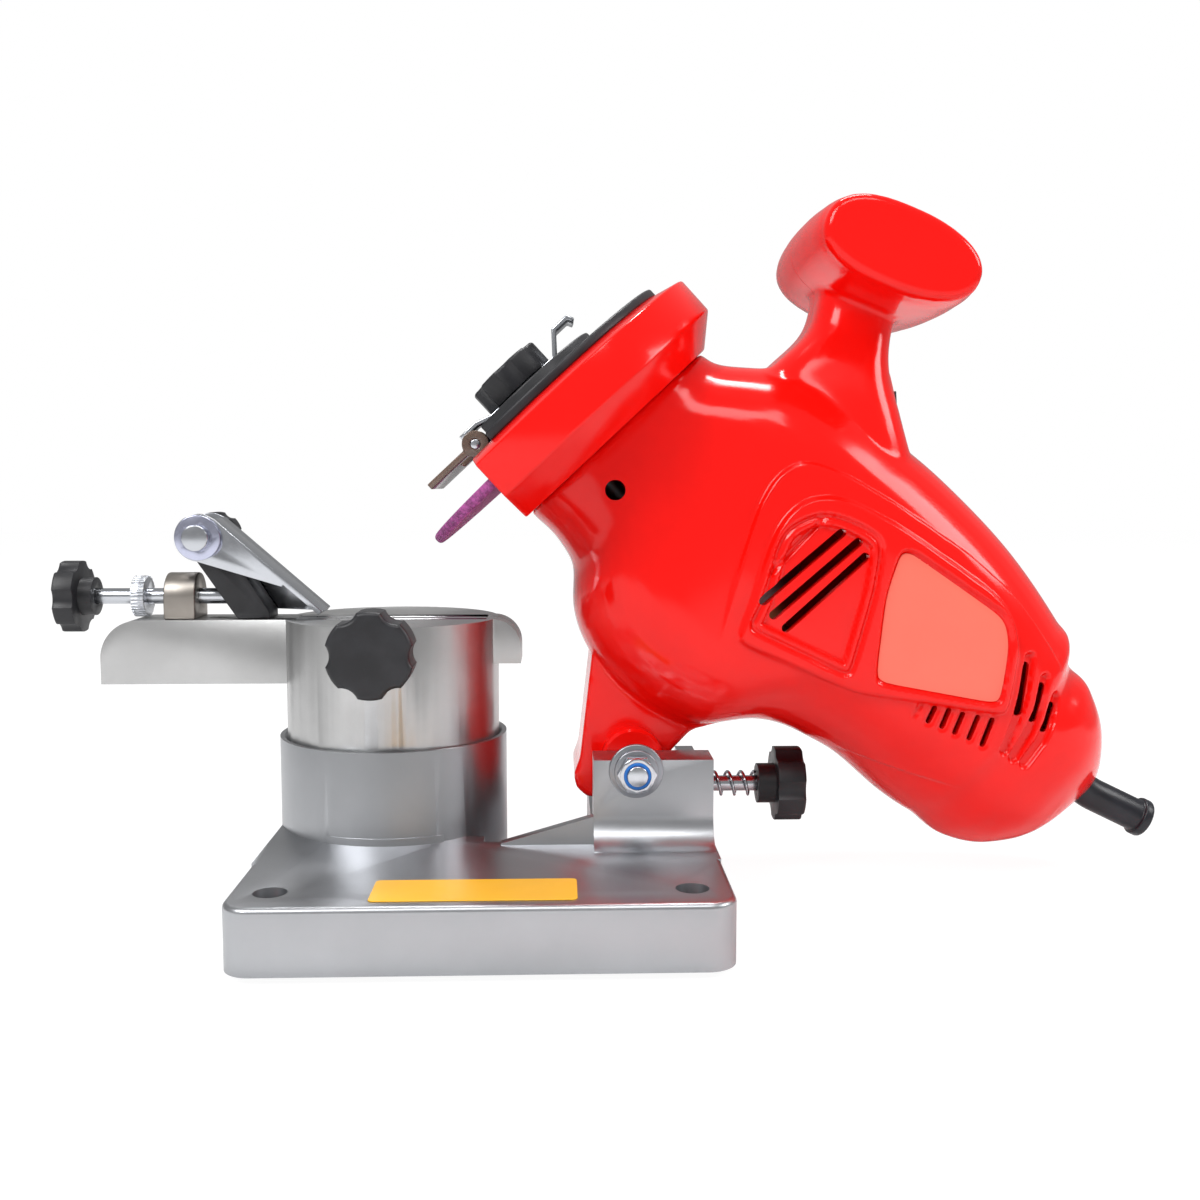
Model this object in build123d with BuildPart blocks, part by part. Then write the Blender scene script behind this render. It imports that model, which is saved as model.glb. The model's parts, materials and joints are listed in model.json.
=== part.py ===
from build123d import *
import os
from math import asin, atan2, cos, degrees, hypot, radians, sin, sqrt

os.makedirs("parts", exist_ok=True)

# Electric bench sharpener for saw chain. Millimetres, +Z up, X along the chain, Y across it.
# The front of the base is bolted to the edge of a bench and the vise ring and the hinge stand past it,
# so that the chain can hang down through the gap between them.
# The origin is on the underside of the base, in the plane of the chain and midway between the bolts.
# The wheel head leans to -X and the feed screw and the chain stop are on the -X side too.

# ---------------------------------------------------------------- fits and gaps
shaft_fit = 0.05        # radial clearance of a shaft, screw or pin in its bore
socket_fit = 0.08       # radial clearance of the vise turret in the base ring
slide_fit = 0.1         # clearance of a flat slide or a thrust face
side_gap = 0.4          # gap between parts that swing past each other

# ---------------------------------------------------------------- base casting
base_length = 133.0
base_front = -91.0
plate_back = -32.0
hinge_back = 48.0
base_height = 18.0
base_corner = 8.0
base_edge = 1.6
base_wall = 5.0
base_plate = 5.0
bench_spacing = 111.0
bench_y = -78.0
bench_hole = 9.0
bench_boss = 20.0
ring_x = -32.3
ring_wall = 2.3
ring_rise = 27.8
ring_floor = 2.0
ring_chamfer = 0.9
foot_rise = 2.2
foot_step = 1.4
foot_side = 5.8
label_length = 54.0
label_width = 17.5
label_x = -2.0
label_y = -78.0
label_corner = 1.5
label_thickness = 0.3

# ---------------------------------------------------------------- head hinge
pivot_x = 43.0
pivot_z = 40.5
ear_left = 30.5
ear_right = 66.0
ear_inner = 23.0
ear_outer = 37.0
ear_top = 43.5
ear_flare = 9.0
far_ear_left = 33.0
far_ear_right = 53.0
lug_half = 16.6
web_thickness = 6.0
web_over_screw = 5.0
gusset_front = -36.0
gusset_start = 3.0
gusset_foot = 0.4
gusset_rise = 8.6
hinge_bolt_d = 6.0
hinge_washer_d = 16.0
hinge_washer_t = 1.5
lock_washer_d = 13.0
hinge_nut_af = 10.0
hinge_nut_t = 5.0
insert_t = 1.2
bolt_past_nut = 0.8
bolt_head_t = 4.0

# ---------------------------------------------------------------- depth stop screw
depth_z = 27.65
depth_screw_d = 5.0
depth_tip_x = 50.5
depth_hub_x = 84.6
depth_hub_d = 12.8
depth_hub_l = 5.5
depth_knob_d = 23.8
depth_knob_t = 8.9
spring_od = 8.4
spring_wire = 1.0
spring_turns = 4

# ---------------------------------------------------------------- vise turret
turret_radius = 33.4
turret_top = 82.5
turret_wall = 6.0
turret_roof = 22.0
swivel_boss = 20.0
swivel_d = 8.0
swivel_reach = 24.0
swivel_head_af = 13.0
swivel_head_t = 5.3
swivel_washer_d = 22.0
swivel_washer_t = 1.6
arm_end_x = -121.8
arm_height = 20.0
arm_width = 18.0
arm_round = 12.0
lip_reach = 7.4
lip_height = 14.0
lip_round = 9.0
jaw_length = 60.0
jaw_thickness = 5.0
jaw_height = 16.0
chain_gap = 1.8
jaw_travel = 3.1
clamp_z = 77.0
clamp_screw_d = 6.0
clamp_tip_d = 5.0
clamp_tip_l = 2.0
clamp_boss_d = 14.0
clamp_boss_l = 1.5
clamp_hub_gap = 4.0
clamp_hub_d = 14.0
clamp_hub_l = 5.0
clamp_knob_d = 25.0
clamp_knob_t = 11.0

# ---------------------------------------------------------------- chain feed and pawl
feed_z = 89.3
feed_screw_d = 5.0
feed_tip_x = -77.0
feed_knob_x = -135.6
feed_knob_d = 22.4
feed_knob_t = 6.2
feed_hub_d = 12.0
feed_hub_l = 4.1
lock_nut_x = -113.0
lock_nut_d = 13.0
lock_nut_notches = 36
lock_nut_notch_r = 0.35
lock_nut_t = 4.0
feed_block_x = -102.5
feed_block_t = 9.7
feed_block_width = 15.0
carriage_foot_x = -75.0
carriage_foot_l = 10.0
carriage_foot_t = 2.0
carriage_half = 6.0
guide_width = 6.0
guide_depth = 4.0
guide_left = -90.0
guide_right = -62.0
tongue_l = 9.0
pawl_x = -91.0
pawl_z = 108.0
pawl_boss_r = 5.2
pawl_sheet = 1.6
pawl_end_r = 7.4
pawl_flange_r = 7.6
pawl_tip_x = -53.5
pawl_tip_z = 85.1
pawl_front_end = 29.0
pawl_fold = 2.4
pawl_rear_foot = 5.2
pawl_bolt_d = 5.0
pawl_washer_d = 14.0
pawl_washer_t = 1.2
pawl_head_d = 8.0
pawl_head_t = 3.0
pawl_knob_d = 15.0
pawl_knob_t = 7.0
pawl_hub_d = 9.0
pawl_hub_l = 3.0

# ---------------------------------------------------------------- wheel head
spindle_slope = 47.0
wheel_x = 20.2
wheel_z = 142.1
wheel_d = 104.0
wheel_t = 3.2
wheel_bore = 22.2
pilot_clearance = 0.1
flange_d = 34.0
inner_flange_t = 4.0
outer_flange_t = 2.6
nut_af = 17.0
nut_t = 3.6
shaft_d = 10.0
shaft_front = -8.2
shaft_end = 112.5
wall = 2.8
neck_front = 13.6
neck_wall = 6.0
spindle_hole = 16.0

guard_front = -8.6
guard_rim_radius = 50.5
guard_shoulder = -6.4
guard_radius = 59.0
guard_wall = 3.0
guard_bevel_wall = 2.4
guard_waist = 5.5
guard_rear_radius = 50.0
guard_cut = -25.0
cover_t = 2.8
cover_radius = 50.2
cover_boss_radius = 27.0
cover_boss_t = 4.0
cover_cut = -17.2
cover_stud_d = 6.0
stud_head_t = 1.6
stud_head_af = 12.0
strip_width = 14.0
strip_t = 1.5
strip_low = -12.5
strip_high = 14.0
strip_kick = 6.4
hook_rise = 11.0
hook_back = 2.0
strip_past = 2.5
cover_knob_d = 25.0
cover_knob_t = 8.2
barrel_s = -12.8
barrel_up = -21.9
barrel_r = 4.2
barrel_half = 13.0
knuckle_gap = 0.3
knuckle_t = 6.0
hinge_pin_d = 3.0
visor_t = 2.0
visor_start = 8.0
visor_reach = 19.0
guard_screw_d = 4.0
guard_screw_head = 7.0
guard_screw_head_t = 1.6
guard_screw_l = 9.0
guard_screw_spots = [(18.0, 32.0), (-18.0, 32.0), (20.0, -12.0), (-20.0, -12.0)]

# Frame of the housing shell, which leans a little less than the spindle.
body_slope = 43.0
body_x = 19.1
body_z = 146.8

# Housing sections: distance along the shell, lowest and highest reach from its line, half width
# and corner radius. The first one is the neck face, square to the spindle.
housing_sections = [
    (neck_front, -24.0, 47.5, 30.0, 24.0),
    (29.0, -28.2, 46.5, 31.5, 25.0),
    (37.0, -31.0, 53.0, 33.5, 27.0),
    (46.0, -40.5, 59.5, 35.5, 29.0),
    (60.0, -47.5, 64.0, 37.5, 31.0),
    (84.0, -47.8, 66.0, 38.0, 31.0),
    (98.0, -42.0, 67.0, 38.0, 31.0),
    (110.0, -28.5, 67.0, 37.5, 30.0),
    (132.0, -19.0, 65.8, 36.5, 29.0),
    (160.0, -16.8, 60.5, 34.0, 27.0),
    (182.0, -11.5, 53.0, 30.0, 24.0),
    (194.0, -2.5, 47.0, 25.0, 20.0),
    (203.0, 9.0, 39.5, 15.5, 12.0),
    (208.0, 22.0, 36.2, 7.2, 7.0),
]

# Lug that hangs between the ears: points in X and Z.
lug_outline = [(31.0, 76.0), (26.8, 39.5), (24.9, 34.5), (25.6, 30.5), (29.0, 27.4), (44.3, 26.0),
               (47.3, 31.0), (52.6, 39.0), (61.5, 48.2), (82.0, 54.0), (82.0, 76.0)]
lug_boss = 9.5

# Stem sections: height, left and right end in X, half width, corner radius.
stem_sections = [
    (146.0, 78.0, 124.2, 25.0, 14.0),
    (160.0, 86.0, 122.0, 21.0, 12.0),
    (172.0, 98.0, 123.8, 17.5, 10.0),
    (184.0, 101.6, 127.6, 16.5, 9.0),
    (190.0, 103.0, 130.0, 17.0, 9.0),
]
grip_x = 118.6
grip_z = 191.0
grip_slope = 22.5
grip_half = 42.0

# Grip sections: distance from the middle, length and depth of the oval.
grip_sections = [
    (0.0, 52.0, 27.0),
    (22.0, 50.0, 25.5),
    (38.5, 44.5, 22.5),
    (grip_half, 39.0, 17.5),
]

# ---------------------------------------------------------------- motor
front_bearing_at = 29.5
front_bearing_od = 30.0
front_bearing_t = 9.0
rear_bearing_at = 105.0
rear_bearing_od = 19.0
rear_bearing_t = 6.0
rear_journal_d = 8.0
bearing_seat = 5.0
fan_at = 40.0
fan_t = 8.0
fan_d = 50.0
fan_disc = 1.5
fan_hub_d = 20.0
fan_blades = 9
blade_turn = 25.0
blade_t = 1.2
stator_at = 56.2
stator_l = 28.0
stator_od = 54.0
stator_bore = 31.6
stator_yoke = 4.0
pole_width = 22.0
coil_past = 5.0
core_d = 30.4
core_slots = 12
slot_depth = 4.4
slot_width = 2.6
winding_d = 27.0
winding_reach = 7.0
commutator_at = 92.0
commutator_l = 11.0
commutator_d = 22.0
commutator_slots = 16
commutator_slot_w = 0.5
commutator_slot_depth = 1.6
stator_seat = 3.0
brush_along = 7.0
brush_across = 5.0
brush_l = 12.0
holder_wall = 1.0
holder_l = 17.0
brush_air = 0.3
brush_spring_wall = 0.6
brush_wall_t = 12.0
brush_wall_bore = 13.0

# ---------------------------------------------------------------- switch and supply
switch_x = 125.4
switch_z = 146.2
switch_lean = 14.2
switch_plate_l = 26.0
switch_plate_w = 24.0
switch_plate_t = 2.6
rocker_l = 16.0
rocker_w = 10.0
rocker_above = 5.7
rocker_below = 1.6
rocker_swing = 20.0
rocker_gap = 1.1
rocker_pin_d = 2.4
rocker_pin_depth = 1.5
rocker_pin_reach = 6.8
rocker_pocket = 5.0
switch_body_wall = 1.6
switch_body_t = 15.0
capacitor_d = 12.0
capacitor_l = 26.0
capacitor_rib = 2.5
guard_inside = 200.8
guard_up = 29.1
guard_turn_at = 211.3
guard_tip_x = 212.8
guard_tip_z = 14.6
guard_bend = 22.0
guard_sleeve_d = 10.6
guard_sleeve_bore = 6.6
guard_bead_d = 12.6
guard_bead_l = 3.0
guard_flange_d = 13.6
guard_flange_t = 2.0
clamp_at = 190.0
clamp_posts = (18.0, 40.0)
clamp_post_d = 6.0
clamp_bar_t = 4.0

# Housing screws: distance along the shell and from its line.
screw_spots = [(30.0, 39.0), (64.0, 53.0), (128.0, 57.0), (180.0, 40.0), (176.0, -3.0), (82.0, -40.0)]
screw_boss = 9.0
screw_d = 4.0
screw_head_d = 7.0
screw_head_t = 2.6
screw_head_y = 12.0
screw_reach = 12.0
lock_hole_s = 29.5
lock_hole_r = -5.3
lock_hole_d = 6.0

# Air slots in the side walls: X, Z, length and turn of each slanted slot, then a row of short ones.
vent_slots = [
    (91.2, 101.5, 30.0, 41.0),
    (95.4, 97.0, 32.0, 41.0),
    (99.6, 92.4, 32.0, 41.0),
    (161.7, 62.6, 16.0, 96.0),
    (167.4, 58.5, 13.0, 94.0),
    (172.4, 53.4, 10.0, 90.0),
]
vent_width = 2.6
vent_depth = 26.0
vent_cut = 40.0
row_count = 5
row_x = 132.4
row_z = 57.0
row_step_x = 4.5
row_step_z = -1.5
row_turn = 100.0
row_length = 6.6
row_width = 1.8

# ---------------------------------------------------------------- placing
slope = radians(spindle_slope)
spindle = Vector(cos(slope), 0, -sin(slope))
upward = Vector(sin(slope), 0, cos(slope))
wheel_centre = Vector(wheel_x, 0, wheel_z)
body_angle = radians(body_slope)
body_along = Vector(cos(body_angle), 0, -sin(body_angle))
body_up = Vector(sin(body_angle), 0, cos(body_angle))
body_start = Vector(body_x, 0, body_z)


def on_head(along, up=0.0, across=0.0):
    """Point given by its distance behind the wheel, up from the spindle and across it."""
    return wheel_centre + spindle * along + upward * up + Vector(0, across, 0)


def square_to_spindle(along, up=0.0):
    """Plane square to the spindle, normal towards the motor: x is across, y is up."""
    return Plane(origin=on_head(along, up), x_dir=(0, 1, 0), z_dir=spindle)


def on_body(along, up=0.0, across=0.0):
    """Point given in the frame of the housing shell."""
    return body_start + body_along * along + body_up * up + Vector(0, across, 0)


def square_to_body(along, up=0.0):
    """Plane square to the line of the housing shell: x is across, y is up."""
    return Plane(origin=on_body(along, up), x_dir=(0, 1, 0), z_dir=body_along)


side_of_head = Plane(origin=wheel_centre, x_dir=spindle, z_dir=(0, -1, 0))


def side_view_at(y):
    return Plane(origin=(0, y, 0), x_dir=(1, 0, 0), z_dir=(0, -1, 0))


def facing_x(x, y=0.0, z=0.0, way=1):
    """Plane with its normal along X at a point: x runs along Y."""
    return Plane(origin=(x, y, z), x_dir=(0, way, 0), z_dir=(way, 0, 0))


def facing_y(y, x=0.0, z=0.0, way=1):
    """Plane with its normal along Y at a point: x runs along X."""
    return Plane(origin=(x, y, z), x_dir=(way, 0, 0), z_dir=(0, way, 0))


def save(piece, name):
    piece.part.label = name
    export_step(piece.part, "parts/" + name + ".step")


# ---------------------------------------------------------------- shared shapes
def turned_rod(plane, steps):
    """Rod along the plane's normal from (diameter, length) steps, end to end."""
    with BuildPart() as rod:
        reach = 0.0
        for diameter, length in steps:
            with BuildSketch(plane.offset(reach)):
                Circle(diameter / 2)
            extrude(amount=length)
            reach += length
    return rod


def hand_knob(plane, knob_d, knob_t, hub_d, hub_l, bore_d, lobes=6):
    """Lobed knob with its hub at the plane and its bore open at the hub."""
    lobe_cut = knob_d * 0.2
    with BuildPart() as knob:
        with BuildSketch(plane.offset(hub_l)):
            Circle(knob_d / 2)
            with PolarLocations(knob_d / 2 + lobe_cut * 0.72, lobes):
                Circle(lobe_cut, mode=Mode.SUBTRACT)
        extrude(amount=knob_t)
        outer_rim = knob.edges().filter_by(GeomType.CIRCLE)
        fillet(outer_rim.group_by(Axis(plane.origin, plane.z_dir))[-1], knob_t * 0.12)
        if hub_l > 0:
            with BuildSketch(plane):
                Circle(hub_d / 2)
            extrude(amount=hub_l)
        with BuildSketch(plane):
            Circle(bore_d / 2)
        extrude(amount=hub_l + knob_t * 0.6, mode=Mode.SUBTRACT)
    return knob


def ring(plane, outer_d, inner_d, thickness):
    with BuildPart() as band:
        with BuildSketch(plane):
            Circle(outer_d / 2)
            Circle(inner_d / 2, mode=Mode.SUBTRACT)
        extrude(amount=thickness)
    return band


# ================================================================ base casting
ring_inner = turret_radius + socket_fit
ring_outer = ring_inner + ring_wall
ring_top = base_height + ring_rise
socket_floor = base_height + ring_floor
swivel_bore = swivel_d + 2 * shaft_fit
web_right = ear_right
web_left = ear_right - web_thickness
web_top = depth_z + depth_screw_d / 2 + web_over_screw
base_half = base_length / 2
join = 20.0             # how far the parts of the outline run into the front plate


def base_outline(inset):
    """Casting seen from above, drawn in by an inset: front plate, vise ring and hinge floor."""
    with BuildSketch() as outline:
        with Locations((0, (base_front + plate_back) / 2)):
            plate_depth = plate_back - base_front
            RectangleRounded(base_length - 2 * inset, plate_depth - 2 * inset, base_corner - inset / 2)
        with Locations((ring_x, 0)):
            Circle(ring_outer - inset)
        for left, right, back in (
            (-base_half + inset, ring_x, 0),
            (ring_x, ring_x + ring_outer - foot_side - inset, plate_back + foot_side),
            (ear_left + inset, base_half - inset, hinge_back - inset),
        ):
            front = plate_back - join
            with Locations(((left + right) / 2, (front + back) / 2)):
                Rectangle(right - left, back - front)
    return outline.sketch


with BuildPart() as base_casting:
    with BuildSketch():
        with Locations((0, (base_front + plate_back) / 2)):
            RectangleRounded(base_length, plate_back - base_front, base_corner)
    extrude(amount=base_height)
    fillet(base_casting.faces().sort_by(Axis.Z)[-1].edges(), base_edge)
    with BuildSketch():
        add(base_outline(0))
        with Locations((0, (base_front + plate_back - join) / 2)):
            Rectangle(base_length, plate_back - join - base_front, mode=Mode.SUBTRACT)
    extrude(amount=base_height)
    with BuildSketch():
        add(base_outline(base_wall))
        with Locations((0, bench_y)):
            with GridLocations(bench_spacing, 1, 2, 1):
                Circle(bench_boss / 2, mode=Mode.SUBTRACT)
    extrude(amount=base_height - base_plate, mode=Mode.SUBTRACT)
    with BuildSketch(Plane.XY.offset(base_height - base_plate)):
        with Locations((ring_x, 0)):
            Circle(ring_outer)
    extrude(amount=base_plate + ring_rise)
    with BuildSketch(Plane.XY.offset(base_height)):
        with Locations((ring_x + foot_step / 2, 0)):
            Circle(ring_outer + foot_step / 2)
        with Locations((ring_x, hinge_back)):
            Rectangle(4 * ring_outer, 2 * (hinge_back - plate_back), mode=Mode.SUBTRACT)
    extrude(amount=foot_rise)
    with BuildSketch(Plane.XY.offset(socket_floor)):
        with Locations((ring_x, 0)):
            Circle(ring_inner)
    extrude(amount=ring_top, mode=Mode.SUBTRACT)
    with Locations((ring_x, 0, ring_top - ring_chamfer / 2)):
        Cone(ring_inner, ring_inner + ring_chamfer, ring_chamfer, mode=Mode.SUBTRACT)
    for hand, left, right in ((-1, ear_left, ear_right), (1, far_ear_left, far_ear_right)):
        with BuildSketch(Plane.YZ.offset(left)):
            with BuildLine():
                corner_y = hand * (ear_outer + ear_flare)
                corner_z = base_height + ear_flare
                arc_side = ear_flare * sqrt(0.5)
                Polyline(
                    (corner_y, base_height),
                    (corner_y, base_height - 1),
                    (hand * ear_inner, base_height - 1),
                    (hand * ear_inner, ear_top),
                    (hand * ear_outer, ear_top),
                    (hand * ear_outer, corner_z),
                )
                ThreePointArc(
                    (hand * ear_outer, corner_z),
                    (corner_y - hand * arc_side, corner_z - arc_side),
                    (corner_y, base_height),
                )
            make_face()
        extrude(amount=right - left)
    with BuildSketch(side_view_at(plate_back)):
        with BuildLine():
            Polyline(
                (gusset_start, base_height - 1),
                (ear_left + 1, base_height - 1),
                (ear_left + 1, base_height + gusset_rise),
                (gusset_start, base_height + gusset_foot),
                close=True,
            )
        make_face()
    extrude(amount=plate_back - gusset_front)
    with BuildSketch(Plane.XY.offset(base_height - 1)):
        with Locations(((web_left + web_right) / 2, 0)):
            Rectangle(web_thickness, 2 * ear_inner + 1)
    extrude(amount=web_top - base_height + 1)
    with BuildSketch(facing_x(ear_left - 1)):
        with Locations((0, depth_z)):
            Circle(depth_screw_d / 2 + shaft_fit)
    extrude(amount=ear_right, mode=Mode.SUBTRACT)
    with BuildSketch(facing_y(-hinge_back, pivot_x, pivot_z)):
        Circle(hinge_bolt_d / 2 + shaft_fit)
    extrude(amount=2 * hinge_back, mode=Mode.SUBTRACT)
    with BuildSketch():
        with Locations((0, bench_y)):
            with GridLocations(bench_spacing, 1, 2, 1):
                Circle(bench_hole / 2)
        with Locations((ring_x, 0)):
            Circle(swivel_bore / 2)
    extrude(amount=base_height + ring_floor, mode=Mode.SUBTRACT)
save(base_casting, "base_casting")

with BuildPart() as base_label:
    with BuildSketch(Plane.XY.offset(base_height)):
        with Locations((label_x, label_y)):
            RectangleRounded(label_length, label_width, label_corner)
    extrude(amount=label_thickness)
save(base_label, "base_label")

# ---------------------------------------------------------------- head hinge hardware
washer_bore = hinge_bolt_d + 2 * shaft_fit
nut_face = ear_outer + 2 * hinge_washer_t
bolt_end = nut_face + hinge_nut_t + bolt_past_nut

with BuildPart() as hinge_washers:
    for way in (-1, 1):
        with BuildSketch(facing_y(way * ear_outer, pivot_x, pivot_z, way)):
            Circle(hinge_washer_d / 2)
            Circle(washer_bore / 2, mode=Mode.SUBTRACT)
        extrude(amount=hinge_washer_t)
save(hinge_washers, "hinge_washers")

lock_washer_plane = facing_y(-ear_outer - hinge_washer_t, pivot_x, pivot_z, -1)
lock_washer = ring(lock_washer_plane, lock_washer_d, washer_bore, hinge_washer_t)
save(lock_washer, "hinge_lock_washer")

with BuildPart() as hinge_bolt:
    with BuildSketch(facing_y(-bolt_end, pivot_x, pivot_z)):
        Circle(hinge_bolt_d / 2)
    extrude(amount=bolt_end + ear_outer + hinge_washer_t)
    with BuildSketch(facing_y(ear_outer + hinge_washer_t, pivot_x, pivot_z)):
        RegularPolygon(hinge_nut_af / 2, 6, major_radius=False)
    extrude(amount=bolt_head_t)
save(hinge_bolt, "hinge_bolt")

with BuildPart() as hinge_nut:
    with BuildSketch(facing_y(-nut_face, pivot_x, pivot_z, -1)):
        RegularPolygon(hinge_nut_af / 2, 6, major_radius=False)
    extrude(amount=hinge_nut_t - insert_t)
    with BuildSketch(facing_y(-nut_face - hinge_nut_t + insert_t, pivot_x, pivot_z, -1)):
        Circle(hinge_nut_af / 2)
        Circle(hinge_nut_af / 2 - 1.0, mode=Mode.SUBTRACT)
    extrude(amount=insert_t)
    with BuildSketch(facing_y(-nut_face, pivot_x, pivot_z, -1)):
        Circle(washer_bore / 2)
    extrude(amount=hinge_nut_t, mode=Mode.SUBTRACT)
save(hinge_nut, "hinge_nut")

nylon_plane = facing_y(-nut_face - hinge_nut_t + insert_t, pivot_x, pivot_z, -1)
nylon_ring = ring(nylon_plane, hinge_nut_af - 2.0 - 2 * shaft_fit, washer_bore, insert_t)
save(nylon_ring, "hinge_nut_insert")

# ---------------------------------------------------------------- depth stop screw
depth_screw_end = depth_hub_x + depth_hub_l + depth_knob_t * 0.5
depth_rod_plane = facing_x(depth_tip_x, z=depth_z)
depth_screw = turned_rod(depth_rod_plane, [(depth_screw_d, depth_screw_end - depth_tip_x)])
save(depth_screw, "depth_screw")

depth_knob = hand_knob(
    facing_x(depth_hub_x, z=depth_z), depth_knob_d, depth_knob_t, depth_hub_d, depth_hub_l,
    depth_screw_d + 2 * shaft_fit,
)
save(depth_knob, "depth_knob")

spring_room = depth_hub_x - web_right - spring_wire - 2 * slide_fit
spring_radius = (spring_od - spring_wire) / 2
spring_start = web_right + spring_wire / 2 + slide_fit
with BuildPart() as depth_spring:
    with BuildLine() as coil_line:
        Helix(
            pitch=spring_room / spring_turns,
            height=spring_room,
            radius=spring_radius,
            center=(spring_start, 0, depth_z),
            direction=(1, 0, 0),
        )
    with BuildSketch(Plane(origin=coil_line.line @ 0, z_dir=coil_line.line % 0)):
        Circle(spring_wire / 2)
    sweep(path=coil_line.line, is_frenet=True)
save(depth_spring, "depth_spring")

# ================================================================ vise turret
turret_floor = socket_floor + slide_fit
jaw_inner = chain_gap / 2
channel_back = jaw_inner + jaw_thickness
channel_front = -(jaw_inner + jaw_thickness + jaw_travel)
channel_floor = turret_top - jaw_height
clamp_face = turret_radius + clamp_boss_l
jaw_front = jaw_inner + jaw_thickness
arm_bottom = turret_top - arm_height
lip_end_x = ring_x + turret_radius + lip_reach

with BuildPart() as turret_body:
    with BuildSketch(Plane.XY.offset(turret_floor)):
        with Locations((ring_x, 0)):
            Circle(turret_radius)
    extrude(amount=turret_top - turret_floor)
    with BuildSketch(side_view_at(arm_width / 2)):
        with BuildLine():
            Polyline(
                (ring_x, arm_bottom),
                (arm_end_x, arm_bottom),
                (arm_end_x, (turret_top - arm_round)),
            )
            ThreePointArc(
                (arm_end_x, (turret_top - arm_round)),
                (arm_end_x + arm_round * (1 - sqrt(0.5)), (turret_top - arm_round * (1 - sqrt(0.5)))),
                (arm_end_x + arm_round, turret_top),
            )
            Polyline(
                (arm_end_x + arm_round, turret_top),
                (lip_end_x - lip_round, turret_top),
            )
            ThreePointArc(
                (lip_end_x - lip_round, turret_top),
                (lip_end_x - lip_round * (1 - sqrt(0.5)), (turret_top - lip_round * (1 - sqrt(0.5)))),
                (lip_end_x, (turret_top - lip_round)),
            )
            Polyline(
                (lip_end_x, (turret_top - lip_round)),
                (lip_end_x, (turret_top - lip_height)),
                (ring_x, (turret_top - lip_height)),
                (ring_x, arm_bottom),
            )
        make_face()
    extrude(amount=arm_width)
    with BuildSketch(facing_y(-turret_radius * 0.8, ring_x, clamp_z, -1)):
        Circle(clamp_boss_d / 2)
    extrude(amount=clamp_face - turret_radius * 0.8)
    with BuildSketch(Plane.XY.offset(turret_floor)):
        with Locations((ring_x, 0)):
            Circle(turret_radius - turret_wall)
            Circle(swivel_boss / 2, mode=Mode.SUBTRACT)
    extrude(amount=turret_top - turret_roof - turret_floor, mode=Mode.SUBTRACT)
    with BuildSketch(Plane.XY.offset(channel_floor)):
        with Locations((ring_x, (channel_back + channel_front) / 2)):
            Rectangle(jaw_length + 2 * slide_fit, channel_back - channel_front)
        with Locations((ring_x, 0)):
            Rectangle(2 * turret_radius + 2 * lip_reach + 1, chain_gap)
    extrude(amount=jaw_height + 1, mode=Mode.SUBTRACT)
    with BuildSketch(Plane.XY.offset(turret_top - guide_depth)):
        with Locations(((guide_left + guide_right) / 2, 0)):
            Rectangle(guide_right - guide_left, guide_width)
    extrude(amount=guide_depth + 1, mode=Mode.SUBTRACT)
    with BuildSketch(facing_y(channel_front + 1, ring_x, clamp_z, -1)):
        Circle(clamp_screw_d / 2 + shaft_fit)
    extrude(amount=clamp_face, mode=Mode.SUBTRACT)
    with BuildSketch(Plane.XY.offset(turret_floor)):
        with Locations((ring_x, 0)):
            Circle(swivel_d / 2 + shaft_fit)
    extrude(amount=swivel_reach + 2, mode=Mode.SUBTRACT)
save(turret_body, "turret_body")

plate_underside = base_height - base_plate
with BuildPart() as swivel_washer:
    with BuildSketch(Plane.XY.offset(plate_underside - swivel_washer_t - slide_fit)):
        with Locations((ring_x, 0)):
            Circle(swivel_washer_d / 2)
            Circle(swivel_bore / 2, mode=Mode.SUBTRACT)
    extrude(amount=swivel_washer_t)
save(swivel_washer, "swivel_washer")

with BuildPart() as swivel_bolt:
    with BuildSketch(Plane.XY.offset(plate_underside - swivel_washer_t - slide_fit - swivel_head_t)):
        with Locations((ring_x, 0)):
            RegularPolygon(swivel_head_af / 2, 6, major_radius=False)
    extrude(amount=swivel_head_t)
    with BuildSketch(Plane.XY.offset(plate_underside - swivel_washer_t - slide_fit)):
        with Locations((ring_x, 0)):
            Circle(swivel_d / 2)
    extrude(amount=turret_floor + swivel_reach - plate_underside)
save(swivel_bolt, "swivel_bolt")

with BuildPart() as fixed_jaw:
    with BuildSketch(Plane.XY.offset(channel_floor)):
        with Locations((ring_x, jaw_inner + jaw_thickness / 2)):
            Rectangle(jaw_length, jaw_thickness)
    extrude(amount=jaw_height)
    chamfer(fixed_jaw.edges().filter_by(Axis.X).group_by(Axis.Z)[-1], 0.5)
save(fixed_jaw, "fixed_jaw")

with BuildPart() as moving_jaw:
    with BuildSketch(Plane.XY.offset(channel_floor + slide_fit)):
        with Locations((ring_x, -jaw_inner - jaw_thickness / 2)):
            Rectangle(jaw_length, jaw_thickness)
    extrude(amount=jaw_height - slide_fit)
    chamfer(moving_jaw.edges().filter_by(Axis.X).group_by(Axis.Z)[-1], 0.5)
    with BuildSketch(facing_y(-jaw_front, ring_x, clamp_z)):
        Circle(clamp_tip_d / 2 + shaft_fit)
    extrude(amount=clamp_tip_l + slide_fit, mode=Mode.SUBTRACT)
save(moving_jaw, "moving_jaw")

clamp_knob_y = clamp_face + clamp_hub_gap
clamp_screw_l = clamp_knob_y + clamp_hub_l + clamp_knob_t * 0.5 - jaw_front - 1.0
clamp_screw = turned_rod(
    facing_y(-jaw_front + clamp_tip_l, ring_x, clamp_z, -1),
    [(clamp_tip_d, clamp_tip_l + 1.0), (clamp_screw_d, clamp_screw_l)],
)
save(clamp_screw, "clamp_screw")

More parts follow.
